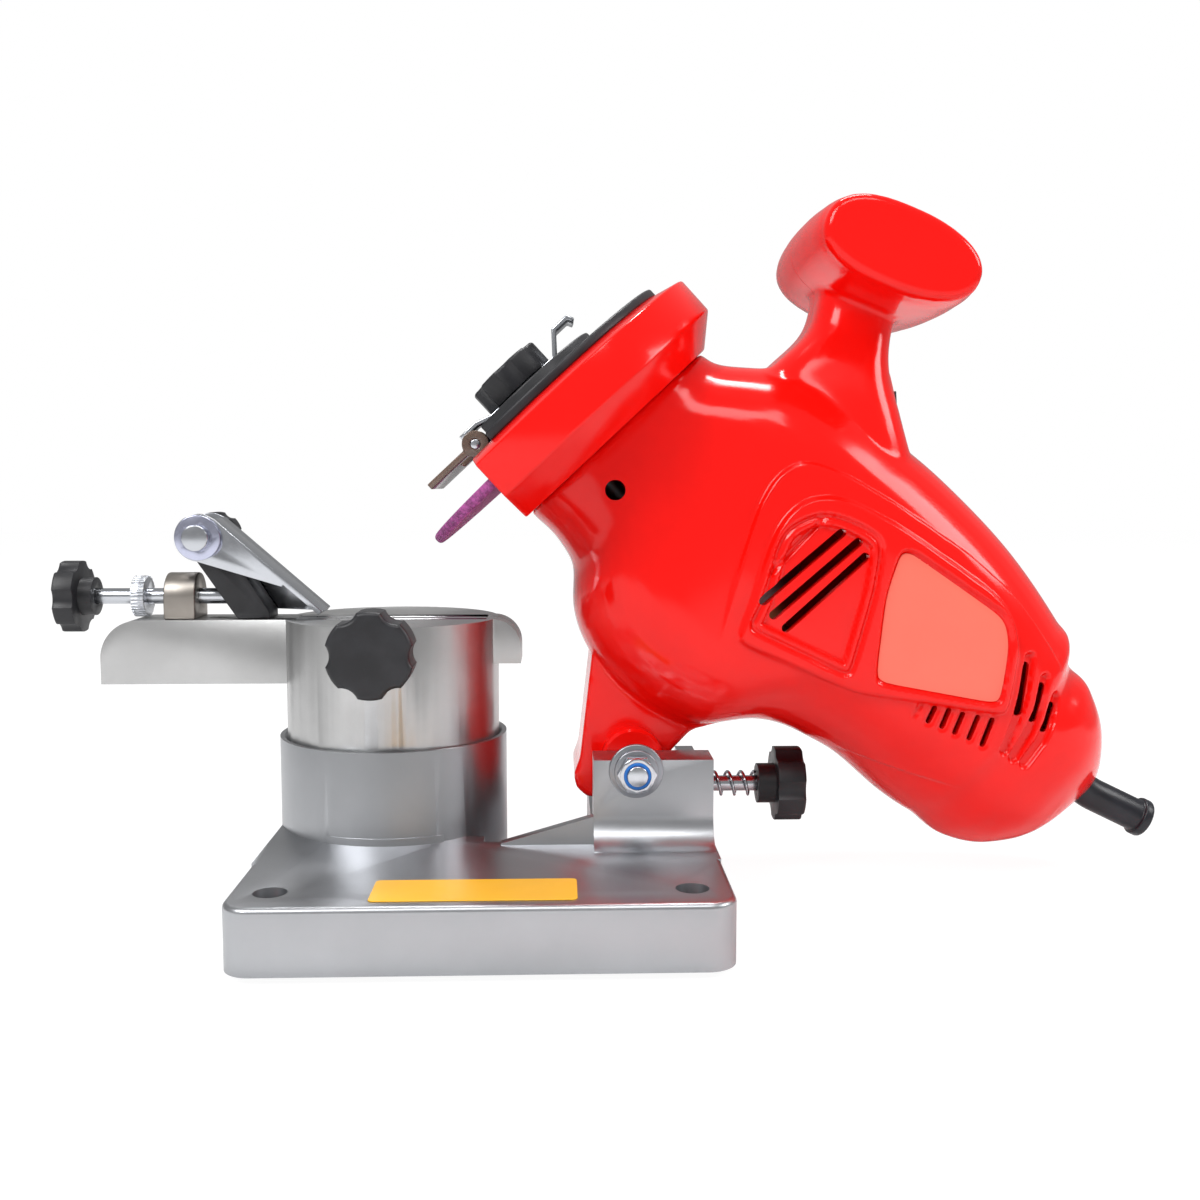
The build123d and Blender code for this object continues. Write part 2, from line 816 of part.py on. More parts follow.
clamp_knob = hand_knob(
    facing_y(-clamp_knob_y, ring_x, clamp_z, -1), clamp_knob_d, clamp_knob_t, clamp_hub_d, clamp_hub_l,
    clamp_screw_d + 2 * shaft_fit,
)
save(clamp_knob, "clamp_knob")

# ---------------------------------------------------------------- chain feed
feed_bore = feed_screw_d / 2 + shaft_fit
feed_hub_x = feed_knob_x + feed_knob_t + feed_hub_l

with BuildPart() as feed_block:
    with BuildSketch(facing_x(feed_block_x, z=0)):
        with Locations((0, (turret_top + feed_z) / 2)):
            Rectangle(feed_block_width, feed_z - turret_top)
        with Locations((0, feed_z)):
            Circle(feed_block_width / 2)
        with Locations((0, turret_top - feed_block_width / 2)):
            Rectangle(feed_block_width, feed_block_width, mode=Mode.SUBTRACT)
        with Locations((0, feed_z)):
            Circle(feed_bore, mode=Mode.SUBTRACT)
    extrude(amount=feed_block_t)
save(feed_block, "feed_block")

feed_screw_start = feed_knob_x + feed_knob_t * 0.5
feed_screw = turned_rod(facing_x(feed_screw_start, z=feed_z), [(feed_screw_d, feed_tip_x - feed_screw_start)])
save(feed_screw, "feed_screw")

feed_knob = hand_knob(
    facing_x(feed_hub_x, z=feed_z, way=-1), feed_knob_d, feed_knob_t, feed_hub_d, feed_hub_l,
    2 * feed_bore,
)
save(feed_knob, "feed_knob")

with BuildPart() as lock_nut:
    with BuildSketch(facing_x(lock_nut_x, z=feed_z)):
        Circle(lock_nut_d / 2)
        with PolarLocations(lock_nut_d / 2, lock_nut_notches):
            Circle(lock_nut_notch_r, mode=Mode.SUBTRACT)
        Circle(feed_bore, mode=Mode.SUBTRACT)
    extrude(amount=lock_nut_t)
save(lock_nut, "lock_nut")

carriage_floor = turret_top + slide_fit
with BuildPart() as pawl_support:
    with BuildSketch(side_view_at(carriage_half)):
        with Locations((pawl_x, pawl_z)):
            Circle(pawl_boss_r)
        with Locations((carriage_foot_x, carriage_floor + carriage_foot_t / 2)):
            Rectangle(carriage_foot_l, carriage_foot_t)
        make_hull()
    extrude(amount=2 * carriage_half)
    with BuildSketch(Plane.XY.offset(turret_top - guide_depth + slide_fit)):
        with Locations((carriage_foot_x, 0)):
            Rectangle(tongue_l, guide_width - 2 * slide_fit)
    extrude(amount=guide_depth)
    with BuildSketch(facing_x(pawl_x - 2 * pawl_boss_r, z=feed_z)):
        Circle(feed_bore)
    extrude(amount=feed_tip_x + slide_fit - pawl_x + 2 * pawl_boss_r, mode=Mode.SUBTRACT)
    with BuildSketch(facing_y(-carriage_half, pawl_x, pawl_z)):
        Circle(pawl_bolt_d / 2 + shaft_fit)
    extrude(amount=2 * carriage_half, mode=Mode.SUBTRACT)
save(pawl_support, "pawl_support")

pawl_inner = carriage_half + side_gap
pawl_outer = pawl_inner + pawl_sheet
pawl_run = pawl_tip_x - pawl_x
pawl_drop = pawl_z - pawl_tip_z
pawl_angle = atan2(pawl_drop, pawl_run) + asin(pawl_flange_r / hypot(pawl_run, pawl_drop))
pawl_down = Vector(cos(pawl_angle), 0, -sin(pawl_angle))
pawl_plane = Plane(origin=(pawl_x, 0, pawl_z), x_dir=pawl_down, z_dir=(0, -1, 0))
pawl_length = Vector(pawl_tip_x - pawl_x, 0, pawl_tip_z - pawl_z).dot(pawl_down)
with BuildPart() as pawl:
    with BuildSketch(pawl_plane.offset(pawl_inner)):
        Circle(pawl_end_r)
        with BuildLine():
            Polyline(
                (0, pawl_flange_r),
                (pawl_front_end, pawl_flange_r),
                (pawl_front_end, pawl_flange_r - pawl_fold),
                (pawl_end_r * 0.4, -pawl_end_r * 0.9),
                (0, 0),
                close=True,
            )
        make_face()
    extrude(amount=pawl_sheet)
    with BuildSketch(pawl_plane.offset(-pawl_outer)):
        Circle(pawl_end_r)
        with BuildLine():
            Polyline(
                (0, pawl_flange_r),
                (pawl_length, pawl_flange_r),
                (pawl_length - 1.0, pawl_flange_r - pawl_fold),
                (pawl_length * 0.68, -pawl_rear_foot),
                (pawl_end_r * 0.4, -pawl_end_r * 0.9),
                (0, 0),
                close=True,
            )
        make_face()
    extrude(amount=pawl_sheet)
    with BuildSketch(pawl_plane.offset(-pawl_outer)):
        with BuildLine():
            Polyline(
                (-0.5, pawl_flange_r - pawl_sheet),
                (pawl_length, pawl_flange_r - pawl_sheet),
                (pawl_length, pawl_flange_r),
                (-0.5, pawl_flange_r),
                close=True,
            )
        make_face()
    extrude(amount=2 * pawl_outer)
    with BuildSketch(pawl_plane.offset(-pawl_outer)):
        Circle(pawl_bolt_d / 2 + shaft_fit)
    extrude(amount=2 * pawl_outer, mode=Mode.SUBTRACT)
save(pawl, "pawl")

pawl_washer_plane = facing_y(-pawl_outer - slide_fit, pawl_x, pawl_z, -1)
pawl_washer = ring(pawl_washer_plane, pawl_washer_d, pawl_bolt_d + 2 * shaft_fit, pawl_washer_t)
save(pawl_washer, "pawl_washer")

pawl_head_y = -pawl_outer - slide_fit - pawl_washer_t
pawl_knob_y = pawl_outer + slide_fit
pawl_bolt = turned_rod(
    facing_y(pawl_head_y - pawl_head_t, pawl_x, pawl_z),
    [(pawl_head_d, pawl_head_t), (pawl_bolt_d, pawl_knob_y + pawl_knob_t * 0.7 - pawl_head_y)],
)
save(pawl_bolt, "pawl_bolt")

pawl_knob = hand_knob(
    facing_y(pawl_knob_y, pawl_x, pawl_z), pawl_knob_d, pawl_knob_t, pawl_hub_d, pawl_hub_l,
    pawl_bolt_d + 2 * shaft_fit,
)
save(pawl_knob, "pawl_knob")

# ================================================================ wheel head housing
def rounded_section(plane, low, high, half, corner, inset=0.0):
    """Rounded rectangle from low to high on a plane, drawn in by an inset all round."""
    with BuildSketch(plane) as section:
        with Locations((0, (low + high) / 2)):
            RectangleRounded(2 * (half - inset), high - low - 2 * inset, corner - inset)
    return section.sketch


def head_loft(inset, front, rear_cut):
    """Body of the head, lofted through its sections, drawn in by an inset."""
    with BuildPart() as body:
        for number, (along, low, high, half, corner) in enumerate(housing_sections):
            plane = square_to_body(along)
            if number == 0:
                plane = square_to_spindle(along + front)
            if number == len(housing_sections) - 1:
                plane = square_to_body(along - rear_cut)
            add(rounded_section(plane, low, high, half, corner, inset))
        loft(ruled=True)
    return body.part


def stem_loft(inset):
    with BuildPart() as stem:
        for height, left, right, half, corner in stem_sections:
            with BuildSketch(Plane.XY.offset(height)):
                with Locations(((left + right) / 2, 0)):
                    RectangleRounded(right - left - 2 * inset, 2 * (half - inset), corner - inset)
        loft(ruled=True)
    return stem.part


grip_angle = radians(grip_slope)
grip_plane = Plane(
    origin=(grip_x, 0, grip_z),
    x_dir=(cos(grip_angle), 0, -sin(grip_angle)),
    z_dir=(0, -1, 0),
)


def grip_bar(inset):
    """Cross grip with an oval section that swells in the middle, square across the head."""
    with BuildPart() as bar:
        rows = [(-place, chord, depth) for place, chord, depth in reversed(grip_sections[1:])]
        for place, chord, depth in rows + grip_sections:
            end = 1 - inset / grip_half
            with BuildSketch(grip_plane.offset(place * end)):
                Ellipse(chord / 2 - inset, depth / 2 - inset)
        loft(ruled=True)
    return bar.part


def lug_block(inset):
    """Hanging lug between the ears."""
    half = lug_half
    with BuildPart() as lug:
        with BuildSketch(side_view_at(half - inset)):
            with BuildLine():
                Polyline(*lug_outline, close=True)
            make_face()
            if inset > 0:
                offset(amount=-inset, kind=Kind.INTERSECTION)
        extrude(amount=2 * (half - inset))
    return lug.part


def across_head(along, up, y, way=1):
    """Plane square across the head, normal along Y, with its x along the spindle."""
    return Plane(origin=on_head(along, up, y), x_dir=spindle, z_dir=(0, way, 0))


def across_body(along, up, y):
    """Plane square across the shell, normal along +Y, with its x along the shell."""
    return Plane(origin=on_body(along, up, y), x_dir=body_along, z_dir=(0, 1, 0))


def across_rod(along, up, diameter, start, end):
    """Rod square across the shell at a point of its side view, from y = start to end."""
    centre = on_body(along, up)
    with BuildPart() as rod:
        with BuildSketch(facing_y(start, centre.X, centre.Z)):
            Circle(diameter / 2)
        extrude(amount=end - start)
    return rod.part


brush_centre = commutator_at + commutator_l / 2
bulkheads = [
    (front_bearing_at + (front_bearing_t - bearing_seat) / 2, bearing_seat, front_bearing_od / 2),
    (stator_at + 2.0, stator_seat, stator_od / 2),
    (stator_at + stator_l - stator_seat - 2.0, stator_seat, stator_od / 2),
    (brush_centre - brush_wall_t / 2, brush_wall_t, brush_wall_bore),
    (rear_bearing_at + 1.0, bearing_seat, rear_bearing_od / 2),
]
holder_along = brush_along + 2 * holder_wall
holder_across = brush_across + 2 * holder_wall
holder_start = commutator_d / 2 + 2.0
holder_end = holder_start + holder_l
grip_rib_y = capacitor_l / 2 - 5.0

with BuildPart() as cavity:
    add(head_loft(wall, neck_wall, wall))
    for place, thickness, bore in bulkheads:
        with BuildSketch(square_to_spindle(place)):
            Rectangle(200, 200)
            Circle(bore + shaft_fit, mode=Mode.SUBTRACT)
        extrude(amount=thickness, mode=Mode.SUBTRACT)
    with BuildSketch(across_head(brush_centre, 0, -holder_end)):
        Rectangle(holder_along + 2 * shaft_fit, holder_across + 2 * shaft_fit)
    extrude(amount=2 * holder_end)
    add(stem_loft(wall))
    add(grip_bar(wall))
    for hand in (-1, 1):
        with BuildSketch(grip_plane.offset(hand * grip_rib_y - capacitor_rib / 2)):
            Rectangle(grip_sections[0][1], grip_sections[0][2])
            Circle(capacitor_d / 2 + shaft_fit, mode=Mode.SUBTRACT)
        extrude(amount=capacitor_rib, mode=Mode.SUBTRACT)
    for spot_s, spot_r in screw_spots:
        add(across_rod(spot_s, spot_r, screw_boss, -60, 60), mode=Mode.SUBTRACT)
    for spot_r in clamp_posts:
        add(across_rod(clamp_at, spot_r, clamp_post_d, -60, -clamp_bar_t), mode=Mode.SUBTRACT)

switch_lean_angle = radians(switch_lean)
switch_normal = Vector(cos(switch_lean_angle), 0, sin(switch_lean_angle))
switch_seat = Plane(
    origin=Vector(switch_x, 0, switch_z) - switch_normal * switch_plate_t,
    x_dir=(0, 1, 0),
    z_dir=switch_normal,
)
rocker_window_l = rocker_l + 2 * rocker_gap
rocker_window_w = rocker_w + 2 * rocker_gap
switch_body_l = rocker_window_l + 2 * switch_body_wall
switch_body_w = rocker_window_w + 2 * switch_body_wall
guard_exit = square_to_body(guard_inside, guard_up)

with BuildPart() as shell:
    add(head_loft(0, 0, 0))
    add(stem_loft(0))
    add(grip_bar(0))
    add(lug_block(0))
    with BuildSketch(facing_y(-ear_inner + side_gap, pivot_x, pivot_z)):
        Circle(lug_boss)
    extrude(amount=2 * (ear_inner - side_gap))
    add(cavity.part, mode=Mode.SUBTRACT)
    with BuildSketch(facing_y(-ear_inner, pivot_x, pivot_z)):
        Circle(hinge_bolt_d / 2 + shaft_fit)
    extrude(amount=2 * ear_inner, mode=Mode.SUBTRACT)
    with BuildSketch(square_to_spindle(neck_front - 1)):
        Circle(spindle_hole / 2)
        with Locations(*guard_screw_spots):
            Circle(guard_screw_d / 2 + shaft_fit)
    extrude(amount=neck_wall + 2, mode=Mode.SUBTRACT)
    with BuildSketch(switch_seat):
        Rectangle(switch_plate_w + 2 * slide_fit, switch_plate_l + 2 * slide_fit)
    extrude(amount=4 * switch_plate_t, mode=Mode.SUBTRACT)
    with BuildSketch(switch_seat):
        Rectangle(switch_body_w + 2 * slide_fit, switch_body_l + 2 * slide_fit)
    extrude(amount=-switch_body_t - 1, mode=Mode.SUBTRACT)
    with BuildSketch(guard_exit):
        Circle(guard_sleeve_d / 2 + shaft_fit)
    extrude(amount=20, mode=Mode.SUBTRACT)
    for spot_s, spot_r in screw_spots:
        screw_bore = across_rod(spot_s, spot_r, screw_d + 2 * shaft_fit, -screw_reach - 1, screw_head_y)
        add(screw_bore, mode=Mode.SUBTRACT)
        add(across_rod(spot_s, spot_r, screw_head_d + 2 * slide_fit, screw_head_y, 60), mode=Mode.SUBTRACT)
    add(across_rod(lock_hole_s, lock_hole_r, lock_hole_d, -60, -shaft_d), mode=Mode.SUBTRACT)
    for near in (-vent_depth, vent_depth + vent_cut):
        with BuildSketch(side_view_at(near)):
            for x, z, length, turn in vent_slots:
                with Locations(Location((x, z), turn)):
                    SlotOverall(length, vent_width)
            for number in range(row_count):
                slot_at = (row_x + number * row_step_x, row_z + number * row_step_z)
                with Locations(Location(slot_at, row_turn)):
                    SlotOverall(row_length, row_width)
        extrude(amount=vent_cut, mode=Mode.SUBTRACT)

with BuildPart() as housing_left:
    add(shell.part)
    split(bisect_by=Plane.XZ, keep=Keep.TOP)
save(housing_left, "housing_left")

with BuildPart() as housing_right:
    add(shell.part)
    split(bisect_by=Plane.XZ, keep=Keep.BOTTOM)
save(housing_right, "housing_right")

with BuildPart() as housing_screws:
    for spot_s, spot_r in screw_spots:
        add(across_rod(spot_s, spot_r, screw_d, -screw_reach, screw_head_y))
        add(across_rod(spot_s, spot_r, screw_head_d, screw_head_y, screw_head_y + screw_head_t))
save(housing_screws, "housing_screws")

# ---------------------------------------------------------------- guard, cover and visor
guard_back = neck_front - guard_wall
with BuildPart() as wheel_guard:
    with BuildSketch(side_of_head):
        with BuildLine():
            Polyline(
                (guard_front, guard_rim_radius),
                (guard_shoulder, guard_radius),
                (guard_waist, guard_radius),
                (neck_front, guard_rear_radius),
                (neck_front, spindle_hole / 2),
                (guard_back, spindle_hole / 2),
                (guard_back, guard_rear_radius - guard_wall),
                (guard_waist, guard_radius - guard_wall),
                (guard_shoulder + guard_bevel_wall, guard_radius - guard_wall),
                (guard_front + guard_bevel_wall, guard_rim_radius - guard_wall),
                (guard_front, guard_rim_radius - guard_wall),
                close=True,
            )
        make_face()
    revolve(axis=Axis(wheel_centre, spindle))
    with BuildSketch(side_of_head):
        with Locations((0, guard_cut - guard_radius)):
            Rectangle(4 * guard_radius, 2 * guard_radius)
    extrude(amount=2 * guard_radius, both=True, mode=Mode.SUBTRACT)
    with BuildSketch(square_to_spindle(guard_back - 1)):
        with Locations(*guard_screw_spots):
            Circle(guard_screw_d / 2 + shaft_fit)
    extrude(amount=guard_wall + 2, mode=Mode.SUBTRACT)
save(wheel_guard, "wheel_guard")

with BuildPart() as guard_screws:
    with BuildSketch(square_to_spindle(guard_back - guard_screw_head_t)):
        with Locations(*guard_screw_spots):
            Circle(guard_screw_head / 2)
    extrude(amount=guard_screw_head_t)
    with BuildSketch(square_to_spindle(guard_back)):
        with Locations(*guard_screw_spots):
            Circle(guard_screw_d / 2)
    extrude(amount=guard_screw_l)
save(guard_screws, "guard_screws")

cover_face = guard_front - cover_t
boss_face = cover_face - cover_boss_t
with BuildPart() as guard_cover:
    with BuildSketch(square_to_spindle(cover_face)):
        Circle(cover_radius)
    extrude(amount=cover_t)
    with BuildSketch(square_to_spindle(boss_face)):
        Circle(cover_boss_radius)
    extrude(amount=cover_boss_t)
    with BuildSketch(side_of_head):
        with Locations((0, cover_cut - guard_radius)):
            Rectangle(4 * guard_radius, 2 * guard_radius)
    extrude(amount=2 * guard_radius, both=True, mode=Mode.SUBTRACT)
    with BuildSketch(square_to_spindle(boss_face)):
        Circle(cover_stud_d / 2 + shaft_fit)
    extrude(amount=cover_t + cover_boss_t, mode=Mode.SUBTRACT)
    with BuildSketch(square_to_spindle(guard_front - stud_head_t)):
        RegularPolygon(stud_head_af / 2 + slide_fit, 6, major_radius=False)
    extrude(amount=stud_head_t, mode=Mode.SUBTRACT)
save(guard_cover, "guard_cover")

strip_under = boss_face
knob_seat = strip_under - strip_t - slide_fit
with BuildPart() as cover_stud:
    with BuildSketch(square_to_spindle(guard_front - stud_head_t)):
        RegularPolygon(stud_head_af / 2, 6, major_radius=False)
    extrude(amount=stud_head_t)
    with BuildSketch(square_to_spindle(knob_seat - cover_knob_t * 0.5)):
        Circle(cover_stud_d / 2)
    extrude(amount=guard_front - stud_head_t - knob_seat + cover_knob_t * 0.5)
save(cover_stud, "cover_stud")

strip_middle = strip_under - strip_t / 2
with BuildPart() as visor_bracket:
    with BuildSketch(side_of_head):
        with BuildLine():
            Polyline(
                (strip_middle - strip_kick + hook_back, strip_high + hook_rise + hook_back / 2),
                (strip_middle - strip_kick, strip_high + hook_rise),
                (strip_middle - strip_kick, strip_high + hook_rise / 2),
                (strip_middle, strip_high),
                (strip_middle, strip_low),
                (barrel_s - barrel_r - strip_t / 2 - slide_fit, barrel_up + barrel_r),
                (barrel_s - barrel_r - strip_t / 2 - slide_fit, barrel_up - strip_past),
            )
        trace(line_width=strip_t)
    extrude(amount=strip_width / 2, both=True)
    with BuildSketch(square_to_spindle(knob_seat - 1)):
        Circle(cover_stud_d / 2 + shaft_fit)
    extrude(amount=strip_t + 3, mode=Mode.SUBTRACT)
save(visor_bracket, "visor_bracket")

cover_knob_plane = Plane(origin=on_head(knob_seat), x_dir=(0, 1, 0), z_dir=spindle * -1)
cover_knob = hand_knob(
    cover_knob_plane, cover_knob_d, cover_knob_t, cover_knob_d, 0, cover_stud_d + 2 * shaft_fit,
)
save(cover_knob, "cover_knob")

with BuildPart() as visor_hinge:
    with BuildSketch(across_head(barrel_s, barrel_up, -barrel_half)):
        Circle(barrel_r)
        Circle(hinge_pin_d / 2 + shaft_fit, mode=Mode.SUBTRACT)
    extrude(amount=2 * barrel_half)
    with BuildSketch(across_head(barrel_s, barrel_up, -strip_width / 2)):
        with Locations((-(barrel_r + hinge_pin_d) / 2, 0)):
            Rectangle(barrel_r - hinge_pin_d, barrel_r)
    extrude(amount=strip_width)
save(visor_hinge, "visor_hinge")

visor_half = barrel_half + knuckle_gap + knuckle_t
with BuildPart() as visor_pin:
    with BuildSketch(across_head(barrel_s, barrel_up, -visor_half)):
        Circle(hinge_pin_d / 2)
    extrude(amount=2 * visor_half)
save(visor_pin, "visor_pin")

with BuildPart() as visor:
    for low, high in ((-visor_half, -barrel_half - knuckle_gap), (barrel_half + knuckle_gap, visor_half)):
        with BuildSketch(across_head(barrel_s, barrel_up, low)):
            Circle(barrel_r - slide_fit)
            with Locations((0, visor_start / 2)):
                Rectangle(visor_t, visor_start + 1)
            Circle(hinge_pin_d / 2 + shaft_fit, mode=Mode.SUBTRACT)
        extrude(amount=high - low)
    with BuildSketch(across_head(barrel_s, barrel_up, -visor_half)):
        with Locations((0, (visor_start + visor_reach) / 2)):
            Rectangle(visor_t, visor_reach - visor_start)
    extrude(amount=2 * visor_half)
save(visor, "visor")

# ---------------------------------------------------------------- wheel and rotor
shaft_bore = shaft_d + 2 * shaft_fit
with BuildPart() as grinding_wheel:
    with BuildSketch(square_to_spindle(-wheel_t / 2)):
        Circle(wheel_d / 2)
        Circle(wheel_bore / 2, mode=Mode.SUBTRACT)
    extrude(amount=wheel_t)
    fillet(grinding_wheel.edges().filter_by(GeomType.CIRCLE).sort_by(SortBy.RADIUS)[-2:], wheel_t * 0.4)
save(grinding_wheel, "grinding_wheel")

with BuildPart() as inner_flange:
    with BuildSketch(square_to_spindle(wheel_t / 2)):
        Circle(flange_d / 2)
    extrude(amount=inner_flange_t)
    with BuildSketch(square_to_spindle(-wheel_t / 2 + slide_fit)):
        Circle(wheel_bore / 2 - pilot_clearance)
    extrude(amount=wheel_t)
    with BuildSketch(square_to_spindle(-wheel_t)):
        Circle(shaft_bore / 2)
    extrude(amount=4 * wheel_t, mode=Mode.SUBTRACT)
save(inner_flange, "inner_flange")

nut_seat = -wheel_t / 2 - outer_flange_t
outer_flange = ring(square_to_spindle(nut_seat), flange_d, shaft_bore, outer_flange_t)
save(outer_flange, "outer_flange")

with BuildPart() as wheel_nut:
    with BuildSketch(square_to_spindle(nut_seat - nut_t)):
        RegularPolygon(nut_af / 2, 6, major_radius=False)
        Circle(shaft_bore / 2, mode=Mode.SUBTRACT)
    extrude(amount=nut_t)
save(wheel_nut, "wheel_nut")

armature_shaft = turned_rod(
    square_to_spindle(shaft_front),
    [(shaft_d, rear_bearing_at - shaft_front), (rear_journal_d, shaft_end - rear_bearing_at)],
)
save(armature_shaft, "armature_shaft")

with BuildPart() as armature_core:
    with BuildSketch(square_to_spindle(stator_at)):
        Circle(core_d / 2)
        with PolarLocations(core_d / 2 - slot_depth / 2, core_slots):
            Rectangle(slot_depth + 1, slot_width, mode=Mode.SUBTRACT)
        Circle(shaft_bore / 2, mode=Mode.SUBTRACT)
    extrude(amount=stator_l)
save(armature_core, "armature_core")

bar_depth = slot_depth - 2 * slide_fit
with BuildPart() as armature_winding:
    for start in (stator_at - winding_reach - slide_fit, stator_at + stator_l + slide_fit):
        with BuildSketch(square_to_spindle(start)):
            Circle(winding_d / 2)
            Circle(shaft_bore / 2 + 1.0, mode=Mode.SUBTRACT)
        extrude(amount=winding_reach)
    with BuildSketch(square_to_spindle(stator_at - 1)):
        with PolarLocations(core_d / 2 - slot_depth / 2 - slide_fit, core_slots):
            Rectangle(bar_depth, slot_width - 2 * slide_fit)
    extrude(amount=stator_l + 2)
save(armature_winding, "armature_winding")

with BuildPart() as commutator:
    with BuildSketch(square_to_spindle(commutator_at)):
        Circle(commutator_d / 2)
        with PolarLocations(commutator_d / 2, commutator_slots):
            Rectangle(commutator_slot_depth, commutator_slot_w, mode=Mode.SUBTRACT)
        Circle(shaft_bore / 2, mode=Mode.SUBTRACT)
    extrude(amount=commutator_l)
save(commutator, "commutator")

with BuildPart() as fan:
    with BuildSketch(square_to_spindle(fan_at)):
        Circle(fan_d / 2)
        Circle(shaft_bore / 2, mode=Mode.SUBTRACT)
    extrude(amount=fan_disc)
    with BuildSketch(square_to_spindle(fan_at)):
        Circle(fan_hub_d / 2)
        Circle(shaft_bore / 2, mode=Mode.SUBTRACT)
    extrude(amount=fan_t)
    with BuildSketch(square_to_spindle(fan_at)):
        with PolarLocations((fan_d + fan_hub_d) / 4, fan_blades):
            with Locations(Location((0, 0), blade_turn)):
                Rectangle((fan_d - fan_hub_d) / 2 - 2, blade_t)
    extrude(amount=fan_t)
save(fan, "fan")

front_bearing = ring(square_to_spindle(front_bearing_at), front_bearing_od, shaft_bore, front_bearing_t)
save(front_bearing, "front_bearing")

rear_journal_bore = rear_journal_d + 2 * shaft_fit
rear_bearing = ring(square_to_spindle(rear_bearing_at), rear_bearing_od, rear_journal_bore, rear_bearing_t)
save(rear_bearing, "rear_bearing")

coil_inner = stator_bore / 2 + 0.4
coil_outer = stator_od / 2 - stator_yoke - slide_fit
with BuildPart() as stator_core:
    with BuildSketch(square_to_spindle(stator_at)):
        Circle(stator_od / 2)
        Circle(stator_od / 2 - stator_yoke, mode=Mode.SUBTRACT)
        Rectangle(pole_width, stator_od - 2 * stator_yoke)
        Circle(stator_bore / 2, mode=Mode.SUBTRACT)
    extrude(amount=stator_l)
save(stator_core, "stator_core")

with BuildPart() as field_windings:
    with BuildSketch(square_to_spindle(stator_at - coil_past)):
        Circle(coil_outer)
        Circle(coil_inner, mode=Mode.SUBTRACT)
        Rectangle(pole_width + 2 * slide_fit, stator_od, mode=Mode.SUBTRACT)
    extrude(amount=stator_l + 2 * coil_past)
save(field_windings, "field_windings")

brush_start = commutator_d / 2 + brush_air
with BuildPart() as brush_holders:
    for hand in (-1, 1):
        with BuildSketch(across_head(brush_centre, 0, hand * holder_start, hand)):
            Rectangle(holder_along, holder_across)
            Rectangle(brush_along + 2 * shaft_fit, brush_across + 2 * shaft_fit, mode=Mode.SUBTRACT)
        extrude(amount=holder_l - holder_wall)
        with BuildSketch(across_head(brush_centre, 0, hand * (holder_end - holder_wall), hand)):
            Rectangle(holder_along, holder_across)
        extrude(amount=holder_wall)
save(brush_holders, "brush_holders")

with BuildPart() as carbon_brushes:
    for hand in (-1, 1):
        with BuildSketch(across_head(brush_centre, 0, hand * brush_start, hand)):
            Rectangle(brush_along, brush_across)
        extrude(amount=brush_l)
save(carbon_brushes, "carbon_brushes")

with BuildPart() as brush_springs:
    for hand in (-1, 1):
        with BuildSketch(across_head(brush_centre, 0, hand * (brush_start + brush_l + slide_fit), hand)):
            Circle(brush_across / 2)
            Circle(brush_across / 2 - brush_spring_wall, mode=Mode.SUBTRACT)
        extrude(amount=holder_end - holder_wall - brush_start - brush_l - 2 * slide_fit)
save(brush_springs, "brush_springs")

# ---------------------------------------------------------------- switch and supply
with BuildPart() as switch_plate:
    with BuildSketch(switch_seat):
        RectangleRounded(switch_plate_w, switch_plate_l, 3.0)
        Rectangle(rocker_window_w, rocker_window_l, mode=Mode.SUBTRACT)
    extrude(amount=switch_plate_t)
    outward = Axis((0, 0, 0), switch_normal)
    fillet(switch_plate.faces().sort_by(outward)[-1].outer_wire().edges(), 0.8)
save(switch_plate, "switch_plate")

rocker_pin = switch_seat.origin - switch_normal * rocker_pin_depth
with BuildPart() as switch_body:
    with BuildSketch(switch_seat):
        Rectangle(switch_body_w, switch_body_l)
    extrude(amount=-switch_body_t)
    with BuildSketch(switch_seat):
        Rectangle(rocker_window_w, rocker_window_l)
    extrude(amount=-rocker_pocket, mode=Mode.SUBTRACT)
    with BuildSketch(facing_y(-rocker_pin_reach, rocker_pin.X, rocker_pin.Z)):
        Circle(rocker_pin_d / 2 + shaft_fit)
    extrude(amount=2 * rocker_pin_reach, mode=Mode.SUBTRACT)
save(switch_body, "switch_body")

rocker_tilt = radians(switch_lean - rocker_swing / 2)
rocker_normal = Vector(cos(rocker_tilt), 0, sin(rocker_tilt))
rocker_plane = Plane(origin=rocker_pin, x_dir=(0, 1, 0), z_dir=rocker_normal)
with BuildPart() as rocker:
    with BuildSketch(rocker_plane.offset(-rocker_below)):
        Rectangle(rocker_w, rocker_l)
    extrude(amount=rocker_below + rocker_above)
    with BuildSketch(facing_y(-rocker_pin_reach + slide_fit, rocker_pin.X, rocker_pin.Z)):
        Circle(rocker_pin_d / 2)
    extrude(amount=2 * (rocker_pin_reach - slide_fit))
save(rocker, "rocker")

with BuildPart() as capacitor:
    with BuildSketch(facing_y(-capacitor_l / 2, grip_x, grip_z)):
        Circle(capacitor_d / 2)
    extrude(amount=capacitor_l)
save(capacitor, "capacitor")

